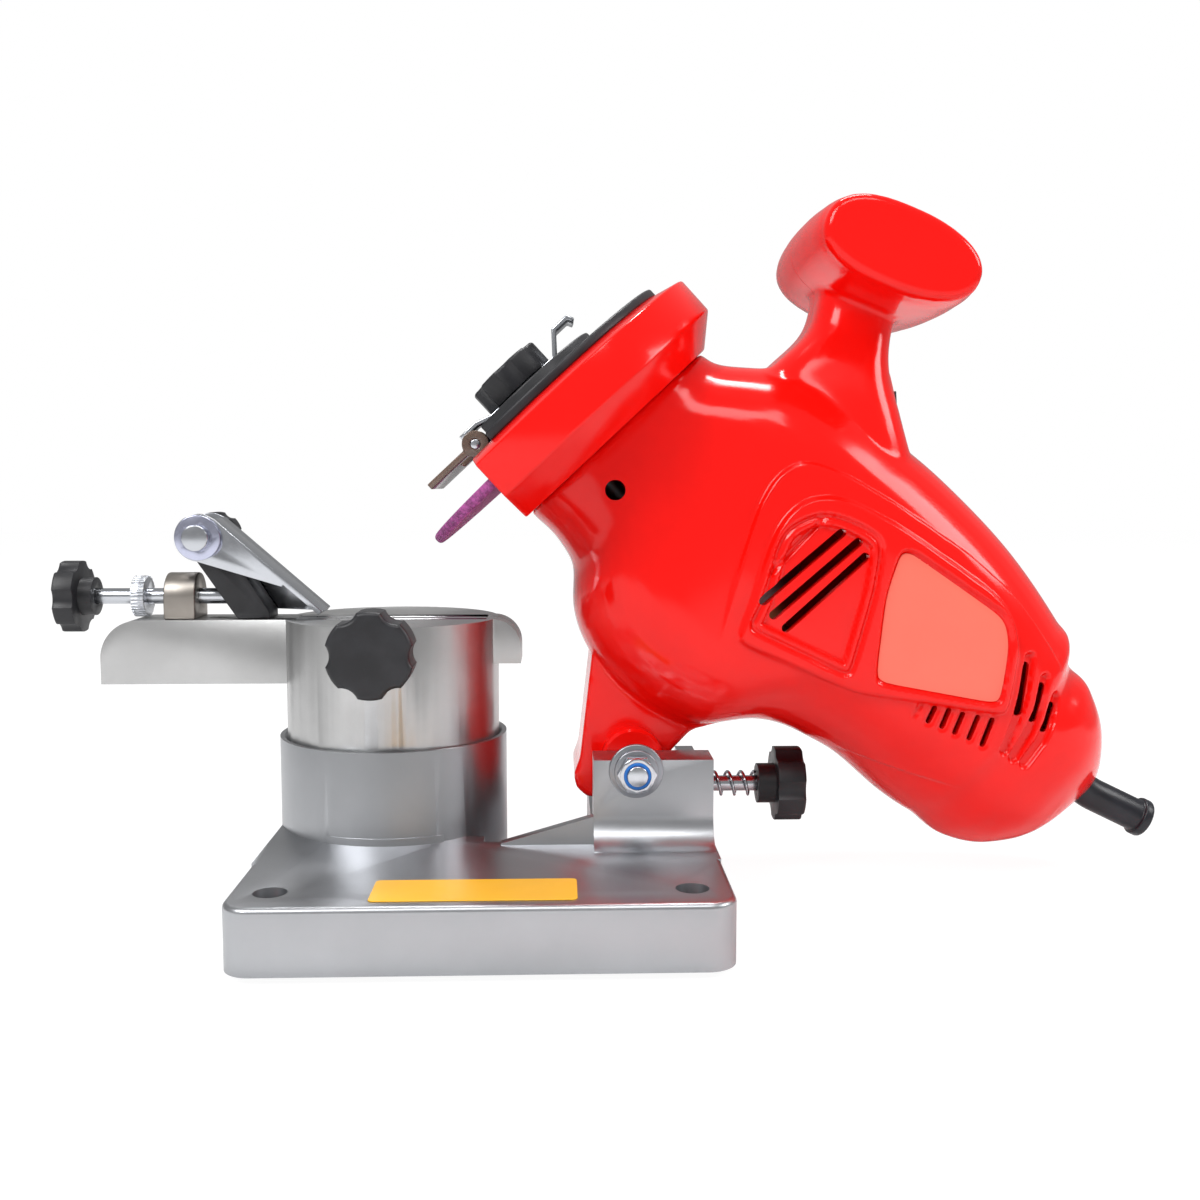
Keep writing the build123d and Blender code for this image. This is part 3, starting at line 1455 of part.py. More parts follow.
guard_start = on_body(guard_inside, guard_up)
guard_turn = on_body(guard_turn_at, guard_up)
guard_tip = Vector(guard_tip_x, 0, guard_tip_z)
tip_plane = Plane(origin=guard_tip, z_dir=(guard_turn - guard_tip).normalized())
with BuildPart() as cord_guard:
    with BuildLine() as guard_line:
        FilletPolyline(guard_start, guard_turn, guard_tip, radius=guard_bend)
    with BuildSketch(guard_exit):
        Circle(guard_sleeve_d / 2)
        Circle(guard_sleeve_bore / 2, mode=Mode.SUBTRACT)
    sweep(path=guard_line.line)
    with BuildSketch(guard_exit):
        Circle(guard_flange_d / 2)
        Circle(guard_sleeve_bore / 2, mode=Mode.SUBTRACT)
    extrude(amount=guard_flange_t)
    with BuildSketch(tip_plane):
        Circle(guard_bead_d / 2)
        Circle(guard_sleeve_bore / 2, mode=Mode.SUBTRACT)
    extrude(amount=guard_bead_l)
save(cord_guard, "cord_guard")

with BuildPart() as cord_clamp:
    with BuildSketch(across_body(clamp_at, sum(clamp_posts) / 2, -clamp_bar_t)):
        Rectangle(clamp_post_d, clamp_posts[1] - clamp_posts[0] + clamp_post_d)
        post_off = (clamp_posts[1] - clamp_posts[0]) / 2
        with Locations((0, post_off), (0, -post_off)):
            Circle(1.5, mode=Mode.SUBTRACT)
    extrude(amount=clamp_bar_t)
save(cord_clamp, "cord_clamp")
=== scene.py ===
"""Looks of the bench chain sharpener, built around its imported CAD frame."""

import json
from math import atan2, cos, pi, radians, sin

import bpy
import numpy as np
from bpy.props import FloatProperty, FloatVectorProperty, PointerProperty
from mathutils import Matrix, Vector
from mathutils.bvhtree import BVHTree

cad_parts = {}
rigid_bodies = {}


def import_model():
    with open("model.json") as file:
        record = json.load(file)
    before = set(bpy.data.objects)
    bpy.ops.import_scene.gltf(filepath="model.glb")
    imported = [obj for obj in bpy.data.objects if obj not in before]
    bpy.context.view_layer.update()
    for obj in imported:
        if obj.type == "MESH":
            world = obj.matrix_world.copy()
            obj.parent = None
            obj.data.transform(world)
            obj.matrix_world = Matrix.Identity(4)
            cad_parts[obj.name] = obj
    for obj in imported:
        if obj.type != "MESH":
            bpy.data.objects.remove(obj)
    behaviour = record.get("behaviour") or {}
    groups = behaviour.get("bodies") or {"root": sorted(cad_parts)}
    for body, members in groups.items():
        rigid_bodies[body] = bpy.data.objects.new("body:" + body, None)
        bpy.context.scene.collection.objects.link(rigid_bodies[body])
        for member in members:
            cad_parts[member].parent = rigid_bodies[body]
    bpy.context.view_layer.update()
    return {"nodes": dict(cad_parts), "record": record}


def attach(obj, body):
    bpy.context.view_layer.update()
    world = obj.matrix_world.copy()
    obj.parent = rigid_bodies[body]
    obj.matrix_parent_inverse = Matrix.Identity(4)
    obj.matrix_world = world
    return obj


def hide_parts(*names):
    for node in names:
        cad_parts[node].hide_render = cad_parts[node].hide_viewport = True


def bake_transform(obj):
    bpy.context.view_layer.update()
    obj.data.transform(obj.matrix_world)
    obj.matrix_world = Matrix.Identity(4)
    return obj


bl_info = {
    "name": "Bench chain sharpener",
    "version": (1, 0, 0),
    "blender": (4, 5, 0),
    "location": "View3D > Sidebar > Sharpener",
    "description": "Builds the red motor head, the chain vise and the cast base of a bench chain sharpener",
    "category": "Object",
}

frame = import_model()
BODY_OF = {node: body for body, nodes in frame["record"]["behaviour"]["bodies"].items() for node in nodes}
SLOT_OF = {part["node"]: part["material_slot"] for part in frame["record"]["subparts"]}
MM = 0.001

# ---------------------------------------------------------------- sizes, in millimetres
SPINDLE_SLOPE = 47.0
WHEEL_CENTRE = Vector((20.2, 0.0, 142.1))
BODY_SLOPE = 43.0
BODY_START = Vector((19.1, 0.0, 146.8))
WALL = 2.6
SEAM_GAP = 0.15
SHELL_VOXEL = 0.9
SPINDLE = Vector((cos(radians(SPINDLE_SLOPE)), 0.0, -sin(radians(SPINDLE_SLOPE))))
UPWARD = Vector((sin(radians(SPINDLE_SLOPE)), 0.0, cos(radians(SPINDLE_SLOPE))))
BODY_ALONG = Vector((cos(radians(BODY_SLOPE)), 0.0, -sin(radians(BODY_SLOPE))))
BODY_UP = Vector((sin(radians(BODY_SLOPE)), 0.0, cos(radians(BODY_SLOPE))))

# place along the body, lowest and highest point, half width and corner radius
BODY_SECTIONS = [
    (13.6, -24.0, 47.5, 30.0, 24.0),
    (29.0, -28.2, 46.5, 31.5, 25.0),
    (37.0, -31.0, 53.0, 33.5, 27.0),
    (46.0, -40.5, 59.5, 35.5, 29.0),
    (60.0, -47.5, 64.0, 37.5, 31.0),
    (84.0, -47.8, 66.0, 38.0, 31.0),
    (98.0, -42.0, 67.0, 38.0, 31.0),
    (110.0, -28.5, 67.0, 37.5, 30.0),
    (132.0, -19.0, 65.8, 36.5, 29.0),
    (160.0, -16.8, 60.5, 34.0, 27.0),
    (166.5, -15.8, 58.8, 33.2, 26.3),
    (168.5, -15.3, 56.0, 32.4, 25.6),
    (182.0, -13.8, 53.0, 30.0, 24.0),
    (194.0, -6.0, 47.0, 25.0, 19.0),
    (203.0, 7.0, 39.5, 15.5, 11.0),
    (208.0, 22.0, 36.2, 7.2, 7.0),
]
# height, left and right edge, half width and corner radius
STEM_SECTIONS = [
    (130.0, 74.0, 129.2, 28.0, 13.0),
    (146.0, 78.0, 124.9, 26.0, 12.0),
    (160.0, 86.0, 122.1, 21.5, 10.0),
    (172.0, 98.0, 123.8, 17.5, 10.0),
    (184.0, 101.6, 127.6, 16.5, 9.0),
    (190.0, 103.0, 130.0, 17.0, 9.0),
]
GRIP_CENTRE = (118.6, 191.0)
GRIP_SLOPE = 22.5
# place across, length and thickness of the oval
GRIP_SECTIONS = [
    (0.0, 52.0, 27.0), (22.0, 51.0, 26.0), (38.0, 48.0, 24.0), (41.2, 46.5, 22.6), (42.0, 44.0, 20.4),
]
GRIP_POINTS = 96
GRIP_STEP = 1.2
LUG_HALF = 16.6
LUG_BOSS = 9.5
LUG_BOSS_HALF = 22.6
LUG_BOSS_FROM = 12.0
LUG_BOSS_CHAMFER = 0.8
PIVOT = (43.0, 40.5)
LUG_OUTLINE = [
    (31.0, 76.0), (26.8, 39.5), (24.9, 34.5), (25.6, 30.5), (29.0, 27.4), (44.3, 26.0),
    (47.3, 31.0), (52.6, 39.0), (61.5, 48.2), (82.0, 54.0), (82.0, 76.0),
]
HINGE_BORE = 3.1

# outlines on the side of the shell, as (x, z)
BELT = [
    (64.0, 66.0), (67.0, 78.0), (70.9, 95.8), (75.5, 110.5), (79.1, 120.6), (84.5, 128.6), (92.6, 131.8),
    (105.0, 127.0), (119.8, 118.5), (141.4, 104.2), (156.3, 91.6), (170.0, 74.0), (180.0, 55.0),
    (150.0, 30.0), (100.0, 45.0),
]
INNER_BELT = [
    (71.0, 78.0), (76.5, 93.0), (79.3, 103.7), (83.5, 113.5), (89.0, 119.5), (95.4, 122.0), (104.0, 121.0),
    (120.0, 112.5), (134.3, 102.8), (149.1, 92.2), (154.2, 86.0), (157.0, 76.4), (154.5, 55.0), (108.0, 63.0),
    (104.0, 64.5),
]
VENT_PANEL = [
    (74.2, 82.2), (78.0, 89.8), (80.7, 98.5), (82.9, 107.2), (86.1, 112.6), (93.7, 116.4), (100.1, 116.4),
    (109.3, 112.6), (115.3, 107.7), (113.1, 93.1), (106.1, 67.1),
]
LABEL_PANEL = [
    (119.6, 105.5), (122.8, 105.5), (126.1, 103.4), (152.5, 85.5), (154.1, 77.9), (152.0, 58.4),
    (112.2, 66.2), (114.7, 92.0), (118.0, 102.8),
]
LABEL_MARGIN = 1.0
LABEL_SPAN = ((110.0, 157.0), (56.0, 108.0))
LABEL_GRID = 0.8
LABEL_RISE = 0.35
LABEL_SHEET = 0.5
# two ends and width
VENT_SLOTS = [
    ((79.6, 90.9), (102.3, 110.4), 2.7),
    ((82.9, 86.6), (107.2, 107.7), 2.7),
    ((86.6, 82.8), (109.3, 103.4), 2.7),
]
SMALL_SLOTS = [
    ((129.9, 54.6), (131.5, 58.4), 1.7),
    ((134.1, 52.9), (135.9, 57.7), 1.7),
    ((138.2, 51.0), (140.2, 56.4), 1.7),
    ((142.8, 49.1), (145.0, 55.3), 1.7),
    ((147.2, 47.0), (149.6, 54.2), 1.9),
]
REAR_SLOTS = [
    ((157.9, 56.6), (159.4, 70.4), 2.8),
    ((163.1, 54.2), (165.0, 64.0), 2.6),
    ((167.0, 50.8), (169.4, 57.6), 2.4),
]
REAR_FLUTES = [
    [(160.3, 72.8), (159.2, 62.0), (157.6, 54.0), (154.7, 44.8)],
    [(165.9, 66.2), (164.4, 57.0), (162.0, 50.0), (157.8, 42.3)],
    [(170.4, 60.2), (168.6, 53.0), (166.0, 47.0), (161.4, 40.5)],
]
PRESSED_GROOVE = [(81.8, 99.0), (96.4, 114.2)]
BLIND_SLOT = [(125.7, 56.6), (127.1, 59.8)]
LOCK_HOLE = (29.5, -5.3)
LOCK_HOLE_RADIUS = 3.0
SCREW_WELLS = [(30.0, 39.0), (64.0, 53.0), (128.0, 57.0), (180.0, 40.0), (176.0, -3.0), (82.0, -40.0)]
SCREW_WELL_RADIUS = 3.7
# distance from the seam where an opening starts, and one past the shell
SLOT_FROM = 24.0
WELL_FROM = 21.0
LOCK_HOLE_FROM = 12.0
OUTSIDE = 60.0
ROOM_FRONT = 6.0
ROOM_STEP = 4.0

# height of a step of the side, then how far from its outline it is still full and has faded out
BELT_STEP = (1.5, -1.1, 0.2)
INNER_BELT_STEP = (1.9, -2.0, 0.0)
VENT_STEPS = [(-1.1, -0.9, 0.1), (0.7, -2.2, -1.4), (-1.7, -4.2, -3.2)]
LABEL_STEP = (-1.6, -0.9, 0.2)
FLUTE_STEP = (-1.6, 1.1, 2.2)
GROOVE_STEP = (-0.8, 0.3, 1.2)
SMALL_SLOT_STEP = (-0.6, 0.2, 1.0)
# where steps of the side fade out, up from the body's line and along it
BELT_UP = (-20.0, 4.0)
BELT_ALONG = (146.0, 172.0)
INNER_BELT_UP = (-34.0, -10.0)
# how far the skin faces sideways, its distance from the seam and its height, where the steps fade
FACING_FADE = (0.02, 0.15)
SIDE_FADE = (14.0, 19.0)
TOP_FADE = (150.0, 158.0)
# how near to edges, panel, flutes and slots the mesh is made finer, and the top and front of that
FINE_INSET = 1.0
FINE_EDGE = 2.4
FINE_PANEL = 1.0
FINE_FLUTE = 3.0
FINE_SLOT = 1.6
FINE_TOP = 156.0
FINE_FRONT = 60.0
# centre, reach and rounds of each place where the skin is smoothed further
MELTED_SPOTS = [
    ((97.0, 0.0, 156.0), 33.0, 58),
    ((116.0, 0.0, 181.0), 15.0, 15),
    ((55.0, 0.0, 62.0), 24.0, 19),
]
SKIN_ROUNDS = 9

# along and radius
CORD_COLLAR = [(-14.0, 0.0), (-14.0, 10.5), (0.5, 9.2), (3.6, 8.6), (4.4, 7.6), (4.4, 0.0)]
CORD_EXIT = (200.8, 29.1)
SPINDLE_WAY = [(9.0, 0.0), (9.0, 12.0), (24.0, 12.0), (24.0, 0.0)]
CORD_WAY = [(-20.0, 0.0), (-20.0, 5.4), (12.0, 5.4), (12.0, 0.0)]
# along and up
SEAM_WEB = [(52.0, 33.0), (116.0, 33.0), (116.0, -60.0), (230.0, -60.0), (230.0, 90.0), (52.0, 90.0)]
SEAM_WEB_HALF = 1.2

SWITCH_SPOT = Vector((125.4, 0.0, 146.2))
SWITCH_LEAN = 14.2
SWITCH_OUT = Vector((cos(radians(SWITCH_LEAN)), 0.0, sin(radians(SWITCH_LEAN))))
SWITCH_RISE = Vector((-sin(radians(SWITCH_LEAN)), 0.0, cos(radians(SWITCH_LEAN))))
# half length and half width
SWITCH_POCKET = (13.05, 12.05)
SWITCH_RIM = (15.2, 14.2)
SWITCH_RIM_CORNER = 3.0
SWITCH_POCKET_TOP = 12.0
# how far out from the switch's place, and growth of the outline there
SWITCH_RIM_ROWS = [(-9.0, 0.0), (-0.9, 0.0), (-0.2, -0.7)]

GUARD_PROFILE = [
    (-8.6, 50.5), (-6.4, 59.0), (5.5, 59.0), (13.6, 50.0), (13.6, 11.0), (10.6, 11.0), (10.6, 47.0),
    (5.5, 56.0), (-4.0, 56.0), (-6.2, 47.5), (-8.6, 47.5),
]
GUARD_CUT = -25.0

# name, place, aim, width, height and watts, in metres
LAMPS = [
    ("key", (-0.70, -0.75, 0.95), (0.02, 0.0, 0.10), 0.60, 0.55, 11.0),
    ("front", (0.15, -0.95, 1.35), (0.03, 0.0, 0.08), 0.9, 0.35, 6.5),
    ("side", (1.0, -0.25, 0.65), (0.06, 0.0, 0.10), 0.4, 0.4, 4.5),
    ("top", (0.10, 0.30, 1.15), (0.03, 0.0, 0.10), 0.6, 0.16, 7.5),
]
CAMERA_PLACE = (0.019909, -0.407215, 0.12488)
CAMERA_YAW = 0.0336558
CAMERA_PITCH = 0.091317
FOCAL_LENGTH = 38.3472
SENSOR_WIDTH = 36.0
FLOOR_HALF = 3000.0
FLOOR_HEIGHT = -2.2
FLOOR_COLOUR = (0.80, 0.80, 0.80)
FLOOR_GLOW = 1.15
FLOOR_GLOW_SHARE = 0.82
SKY_LIGHT = 0.34
SKY_SEEN = 1.0


# ---------------------------------------------------------------- mesh helpers
def select_only(piece):
    """Deselects all, then selects one object and makes it active."""
    for other in bpy.context.view_layer.objects:
        other.select_set(False)
    piece.select_set(True)
    bpy.context.view_layer.objects.active = piece


def new_piece(name, points, faces):
    """Mesh object from points in millimetres."""
    mesh = bpy.data.meshes.new(name)
    mesh.from_pydata([tuple(float(value) * MM for value in point) for point in points], [], faces)
    mesh.update()
    piece = bpy.data.objects.new(name, mesh)
    bpy.context.collection.objects.link(piece)
    return piece


def edit(piece, *steps):
    """Runs edit-mode steps on the whole of a piece."""
    select_only(piece)
    bpy.ops.object.mode_set(mode="EDIT")
    for step in steps:
        bpy.ops.mesh.select_all(action="SELECT")
        step()
    bpy.ops.object.mode_set(mode="OBJECT")


def outward(piece):
    edit(piece, lambda: bpy.ops.mesh.normals_make_consistent(inside=False))


def smooth(piece, angle=32.0):
    select_only(piece)
    bpy.ops.object.shade_smooth_by_angle(angle=radians(angle))


def modify(piece, kind, **settings):
    """Adds a modifier and applies it."""
    modifier = piece.modifiers.new(kind.title(), kind)
    for key, value in settings.items():
        setattr(modifier, key, value)
    select_only(piece)
    bpy.ops.object.modifier_apply(modifier=modifier.name)


def cut(piece, tool):
    modify(piece, "BOOLEAN", object=tool, operation="DIFFERENCE", solver="MANIFOLD")
    bpy.data.objects.remove(tool)


def join(piece, tool):
    modify(piece, "BOOLEAN", object=tool, operation="UNION", solver="MANIFOLD")
    bpy.data.objects.remove(tool)


def together(pieces):
    """Several separate solids as one object."""
    select_only(pieces[0])
    for piece in pieces:
        piece.select_set(True)
    bpy.ops.object.join()
    return pieces[0]


def loft(name, rings):
    """Closed skin over rings of equal length, with its ends filled."""
    count = len(rings[0])
    points = [point for section in rings for point in section]
    faces = []
    for row in range(len(rings) - 1):
        for column in range(count):
            after = (column + 1) % count
            faces.append((row * count + column, row * count + after,
                          (row + 1) * count + after, (row + 1) * count + column))
    faces.append(tuple(range(count - 1, -1, -1)))
    last = (len(rings) - 1) * count
    faces.append(tuple(range(last, last + count)))
    piece = new_piece(name, points, faces)
    outward(piece)
    return piece


def turned(name, profile, spot, steps=96):
    """Solid turned from an (along, radius) profile about a line: spot(along, up, across)."""
    rings = []
    for number in range(steps):
        angle = 2 * pi * number / steps
        rings.append([tuple(spot(along, radius * cos(angle), radius * sin(angle)))
                      for along, radius in profile])
    count = len(profile)
    points = [point for section in rings for point in section]
    faces = []
    for row in range(steps):
        after_row = (row + 1) % steps
        for column in range(count):
            after = (column + 1) % count
            if profile[column][1] == 0 and profile[after][1] == 0:
                continue
            faces.append((row * count + column, row * count + after, after_row * count + after,
                          after_row * count + column))
    piece = new_piece(name, points, faces)
    edit(
        piece,
        lambda: bpy.ops.mesh.remove_doubles(threshold=1e-7),
        lambda: bpy.ops.mesh.dissolve_degenerate(threshold=1e-7),
        lambda: bpy.ops.mesh.normals_make_consistent(inside=False),
    )
    return piece


def rounded_ring(half, low, high, corner, side_steps=6, corner_steps=10):
    """Rounded rectangle as (across, up) points, from the middle of its right side."""
    corner = min(corner, half, (high - low) / 2)
    middle = (low + high) / 2
    points = []
    for number in range(4):
        turn = number * pi / 2
        wide, tall = ((half, (high - low) / 2), ((high - low) / 2, half))[number % 2]
        for step in range(side_steps):
            points.append((turn, wide, (tall - corner) * step / side_steps))
        for step in range(corner_steps):
            angle = pi / 2 * step / corner_steps
            points.append((turn, wide - corner + corner * cos(angle), tall - corner + corner * sin(angle)))
        for step in range(side_steps):
            points.append((turn + pi / 2, tall, (wide - corner) * (step / side_steps - 1)))
    return [(out * cos(turn) - over * sin(turn), middle + out * sin(turn) + over * cos(turn))
            for turn, out, over in points]


def eased(places, rings, steps):
    """Rings set between the given ones along smooth curves."""
    places = np.array(places, float)
    rings = np.array(rings, float)
    gaps = np.diff(places)[:, None, None]
    slopes = np.diff(rings, axis=0) / gaps
    inner = (slopes[1:] * gaps[:-1] + slopes[:-1] * gaps[1:]) / (gaps[1:] + gaps[:-1])
    tangents = np.concatenate([slopes[:1], inner, slopes[-1:]])
    result = []
    for index in range(len(places) - 1):
        width = places[index + 1] - places[index]
        count = max(1, int(round(width / steps)))
        for part in range(count):
            t = part / count
            a, b = rings[index], rings[index + 1]
            ta, tb = tangents[index] * width, tangents[index + 1] * width
            result.append(
                a * (2 * t**3 - 3 * t**2 + 1) + ta * (t**3 - 2 * t**2 + t)
                + b * (3 * t**2 - 2 * t**3) + tb * (t**3 - t**2)
            )
    result.append(rings[-1])
    return result


def prism(name, outline, start, end):
    """Solid from an (x, z) outline, from y = start to end."""
    count = len(outline)
    points = [(x, start, z) for x, z in outline] + [(x, end, z) for x, z in outline]
    faces = [tuple(range(count)), tuple(range(2 * count - 1, count - 1, -1))]
    faces += [(i, count + i, count + (i + 1) % count, (i + 1) % count) for i in range(count)]
    piece = new_piece(name, points, faces)
    outward(piece)
    return piece


def slot_outline(first, second, width, steps=8):
    """Round-ended slot between two points."""
    angle = atan2(second[1] - first[1], second[0] - first[0])
    points = []
    for centre, begin in ((second, angle - pi / 2), (first, angle + pi / 2)):
        for step in range(steps + 1):
            turn = begin + pi * step / steps
            points.append((centre[0] + width / 2 * cos(turn), centre[1] + width / 2 * sin(turn)))
    return points


def disc_outline(x, z, radius, steps=32):
    turns = [2 * pi * number / steps for number in range(steps)]
    return [(x + radius * cos(turn), z + radius * sin(turn)) for turn in turns]


def on_head(along, up=0.0, across=0.0):
    return WHEEL_CENTRE + SPINDLE * along + UPWARD * up + Vector((0.0, across, 0.0))


def on_body(along, up=0.0, across=0.0):
    return BODY_START + BODY_ALONG * along + BODY_UP * up + Vector((0.0, across, 0.0))


def rounded_outline(outline, reach=2.4, rounds=3):
    """Outline with its corners cut again and again until they are round."""
    corners = np.array(outline, float)
    for _ in range(rounds):
        after = np.roll(corners, -1, axis=0)
        length = np.linalg.norm(after - corners, axis=1)[:, None]
        part = np.minimum(0.25, reach / length)
        near = corners * (1 - part) + after * part
        far = corners * part + after * (1 - part)
        corners = np.stack([near, far], axis=1).reshape(-1, 2)
    return corners


def outline_distance(points, outline):
    """Signed distance from points to a closed outline, below zero inside."""
    corners = rounded_outline(outline)
    nearest = np.full(len(points), 1e9)
    inside = np.zeros(len(points), bool)
    for a, b in zip(corners, np.roll(corners, -1, axis=0)):
        nearest = np.minimum(nearest, line_distance(points, a, b))
        crosses = (a[1] > points[:, 1]) != (b[1] > points[:, 1])
        if a[1] != b[1]:
            side = points[:, 0] < (b[0] - a[0]) * (points[:, 1] - a[1]) / (b[1] - a[1]) + a[0]
            inside ^= crosses & side
    return np.where(inside, -nearest, nearest)


def line_distance(points, a, b):
    a = np.asarray(a, float)
    run = np.asarray(b, float) - a
    part = np.clip(((points - a) @ run) / (run @ run), 0, 1)
    return np.linalg.norm(points - a - part[:, None] * run, axis=1)


def path_distance(points, path):
    return np.min([line_distance(points, a, b) for a, b in zip(path, path[1:])], axis=0)


def ease(value, start, end):
    part = np.clip((value - start) / (end - start), 0, 1)
    return part * part * (3 - 2 * part)


# ---------------------------------------------------------------- materials
class Field:
    """A socket that arithmetic works on, so that a pattern reads as a formula."""

    def __init__(self, tree, socket):
        self.tree = tree
        self.socket = socket

    def math(self, operation, other):
        node = self.tree.nodes.new("ShaderNodeMath")
        node.operation = operation
        feed(self.tree, self, node.inputs[0])
        feed(self.tree, other, node.inputs[1])
        return Field(self.tree, node.outputs[0])

    def __add__(self, other):
        return self.math("ADD", other)

    def __mul__(self, other):
        return self.math("MULTIPLY", other)


def feed(tree, value, socket):
    """Links a field or a socket to an input, or sets the input to a value."""
    if isinstance(value, Field):
        value = value.socket
    if isinstance(value, bpy.types.NodeSocket):
        tree.links.new(value, socket)
    elif socket.type == "RGBA":
        socket.default_value = tuple(value) + (1.0,)
    else:
        socket.default_value = value


def camera_mix(tree, lit, seen, share, output):
    """Shows the camera a share of one shader over another, which lights everything else."""
    path = tree.nodes.new("ShaderNodeLightPath")
    mix = tree.nodes.new("ShaderNodeMixShader")
    feed(tree, Field(tree, path.outputs["Is Camera Ray"]) * share, mix.inputs[0])
    feed(tree, lit.outputs[0], mix.inputs[1])
    feed(tree, seen.outputs[0], mix.inputs[2])
    feed(tree, mix.outputs[0], output.inputs[0])


class Finish:
    """A material with one Principled shader and the nodes that feed it."""

    def __init__(self, name, **constants):
        self.material = bpy.data.materials.new(name)
        self.material.use_nodes = True
        self.tree = self.material.node_tree
        self.shader = self.tree.nodes["Principled BSDF"]
        for key, value in constants.items():
            self.set(key, value)
        self.place = self.node("ShaderNodeTexCoord").outputs["Object"]

    def set(self, key, value):
        feed(self.tree, value, self.shader.inputs[key.replace("_", " ")])

    def node(self, kind, settings=None, **inputs):
        """Any node: its settings first, then the values or links of its sockets."""
        node = self.tree.nodes.new(kind)
        for key, value in (settings or {}).items():
            setattr(node, key, value)
        for key, value in inputs.items():
            name = key.replace("_", " ")
            feed(self.tree, value, next(s for s in node.inputs if s.enabled and s.name == name))
        return node

    def noise(self, scale, detail=3.0, roughness=0.55, stretch=(1, 1, 1)):
        place = self.place
        if stretch != (1, 1, 1):
            place = self.node("ShaderNodeMapping", Vector=self.place, Scale=stretch).outputs[0]
        node = self.node("ShaderNodeTexNoise", Vector=place, Scale=scale, Detail=detail, Roughness=roughness)
        return Field(self.tree, node.outputs[0])

    def cells(self, scale):
        node = self.node("ShaderNodeTexVoronoi", Vector=self.place, Scale=scale)
        return Field(self.tree, node.outputs["Distance"])

    def ramp(self, field, low, high):
        """0 to 1 as a field goes from low to high."""
        node = self.node("ShaderNodeMapRange", {"interpolation_type": "SMOOTHSTEP"},
                         Value=field, From_Min=low, From_Max=high)
        return Field(self.tree, node.outputs[0])

    def blend(self, mask, first, second):
        """Colour that goes from first to second with a mask."""
        node = self.node("ShaderNodeMix", {"data_type": "RGBA"})
        for socket, value in ((0, mask), (6, first), (7, second)):
            feed(self.tree, value, node.inputs[socket])
        return Field(self.tree, node.outputs[2])

    def bump(self, height, strength, distance=0.0002):
        node = self.node("ShaderNodeBump", Height=height, Strength=strength, Distance=distance)
        self.set("Normal", Field(self.tree, node.outputs[0]))
        return self


def shade(colour, factor):
    return tuple(value * factor for value in colour)


def gloss_plastic(name, colour, rough=0.2, grain=0.05):
    """Moulded plastic: a hard shine, faint waves and fine dust."""
    made = Finish(name, IOR=1.39)
    cloud = made.noise(55.0, 4.0)
    made.set("Base Color", made.blend(made.ramp(cloud, 0.3, 0.75), shade(colour, 0.93), colour))
    made.set("Roughness", made.noise(140.0, 5.0) * 0.1 + (rough - 0.05))
    return made.bump(made.noise(900.0, 2.0) + made.noise(60.0, 1.0) * 0.6, grain).material


def rough_plastic(name, colour, rough=0.42, grain=0.18):
    """Plastic with a fine spark texture."""
    made = Finish(name, IOR=1.45)
    cloud = made.noise(90.0, 5.0)
    made.set("Base Color", made.blend(made.ramp(cloud, 0.35, 0.7), shade(colour, 0.75), shade(colour, 1.25)))
    made.set("Roughness", made.noise(220.0, 4.0) * 0.16 + (rough - 0.08))
    return made.bump(made.noise(2600.0, 3.0), grain, 0.0001).material


def satin_metal(name, colour, rough=0.36, stretch=(1, 1, 1), scratch=0.12, scale=700.0):
    """Metal with a drawn or tumbled surface."""
    made = Finish(name, Metallic=1.0)
    lines = made.noise(scale, 4.0, 0.6, stretch)
    stain = made.noise(38.0, 5.0)
    made.set("Base Color", made.blend(made.ramp(stain, 0.3, 0.72), shade(colour, 0.86), colour))
    made.set("Roughness", lines * 0.16 + made.noise(26.0, 4.0) * 0.1 + (rough - 0.13))
    return made.bump(lines, scratch, 0.0001).material


def cast_metal(name, colour):
    """Satin casting with a fine sand grain."""
    made = Finish(name, Metallic=1.0)
    grain = made.noise(1500.0, 4.0, 0.7)
    stain = made.noise(30.0, 6.0)
    made.set("Base Color", made.blend(made.ramp(stain, 0.3, 0.75), shade(colour, 0.9), colour))
    made.set("Roughness", grain * 0.14 + stain * 0.08 + 0.24)
    return made.bump(grain, 0.10, 0.0001).material


def abrasive_grain(name, colour):
    """Open grains of a grinding disc: dark pits and pale points."""
    made = Finish(name, Specular_IOR_Level=0.35)
    grains = made.cells(1500.0)
    clump = made.noise(480.0, 4.0, 0.7)
    body = made.blend(made.ramp(clump, 0.35, 0.7), shade(colour, 0.55), shade(colour, 1.25))
    made.set("Base Color", made.blend(made.ramp(grains + clump * 0.4, 0.34, 0.2), body, (0.62, 0.42, 0.58)))
    made.set("Roughness", clump * 0.3 + 0.6)
    return made.bump(grains * -1.0 + clump, 0.75, 0.0003).material


def smoked_sheet(name, colour):
    """Smoked see-through plastic."""
    made = Finish(name, IOR=1.49, Transmission_Weight=0.55)
    cloud = made.noise(45.0, 3.0)
    made.set("Base Color", made.blend(made.ramp(cloud, 0.3, 0.7), shade(colour, 0.8), colour))
    made.set("Roughness", made.noise(200.0, 4.0) * 0.08 + 0.12)
    return made.bump(made.noise(70.0, 2.0), 0.05).material


def printed_plate(name, colour):
    """Bare printed sticker: flat colour with a soft mottle."""
    made = Finish(name, IOR=1.45)
    mottle = made.noise(70.0, 5.0)
    made.set("Base Color", made.blend(made.ramp(mottle, 0.3, 0.7), shade(colour, 0.96), colour))
    made.set("Roughness", made.noise(300.0, 3.0) * 0.12 + 0.34)
    return made.bump(made.noise(1200.0, 2.0), 0.05, 0.0001).material


# ---------------------------------------------------------------- settings
def colour_setting(name, description, default):
    return FloatVectorProperty(name=name, description=description, subtype="COLOR", size=3, min=0, max=1,
                               default=default)


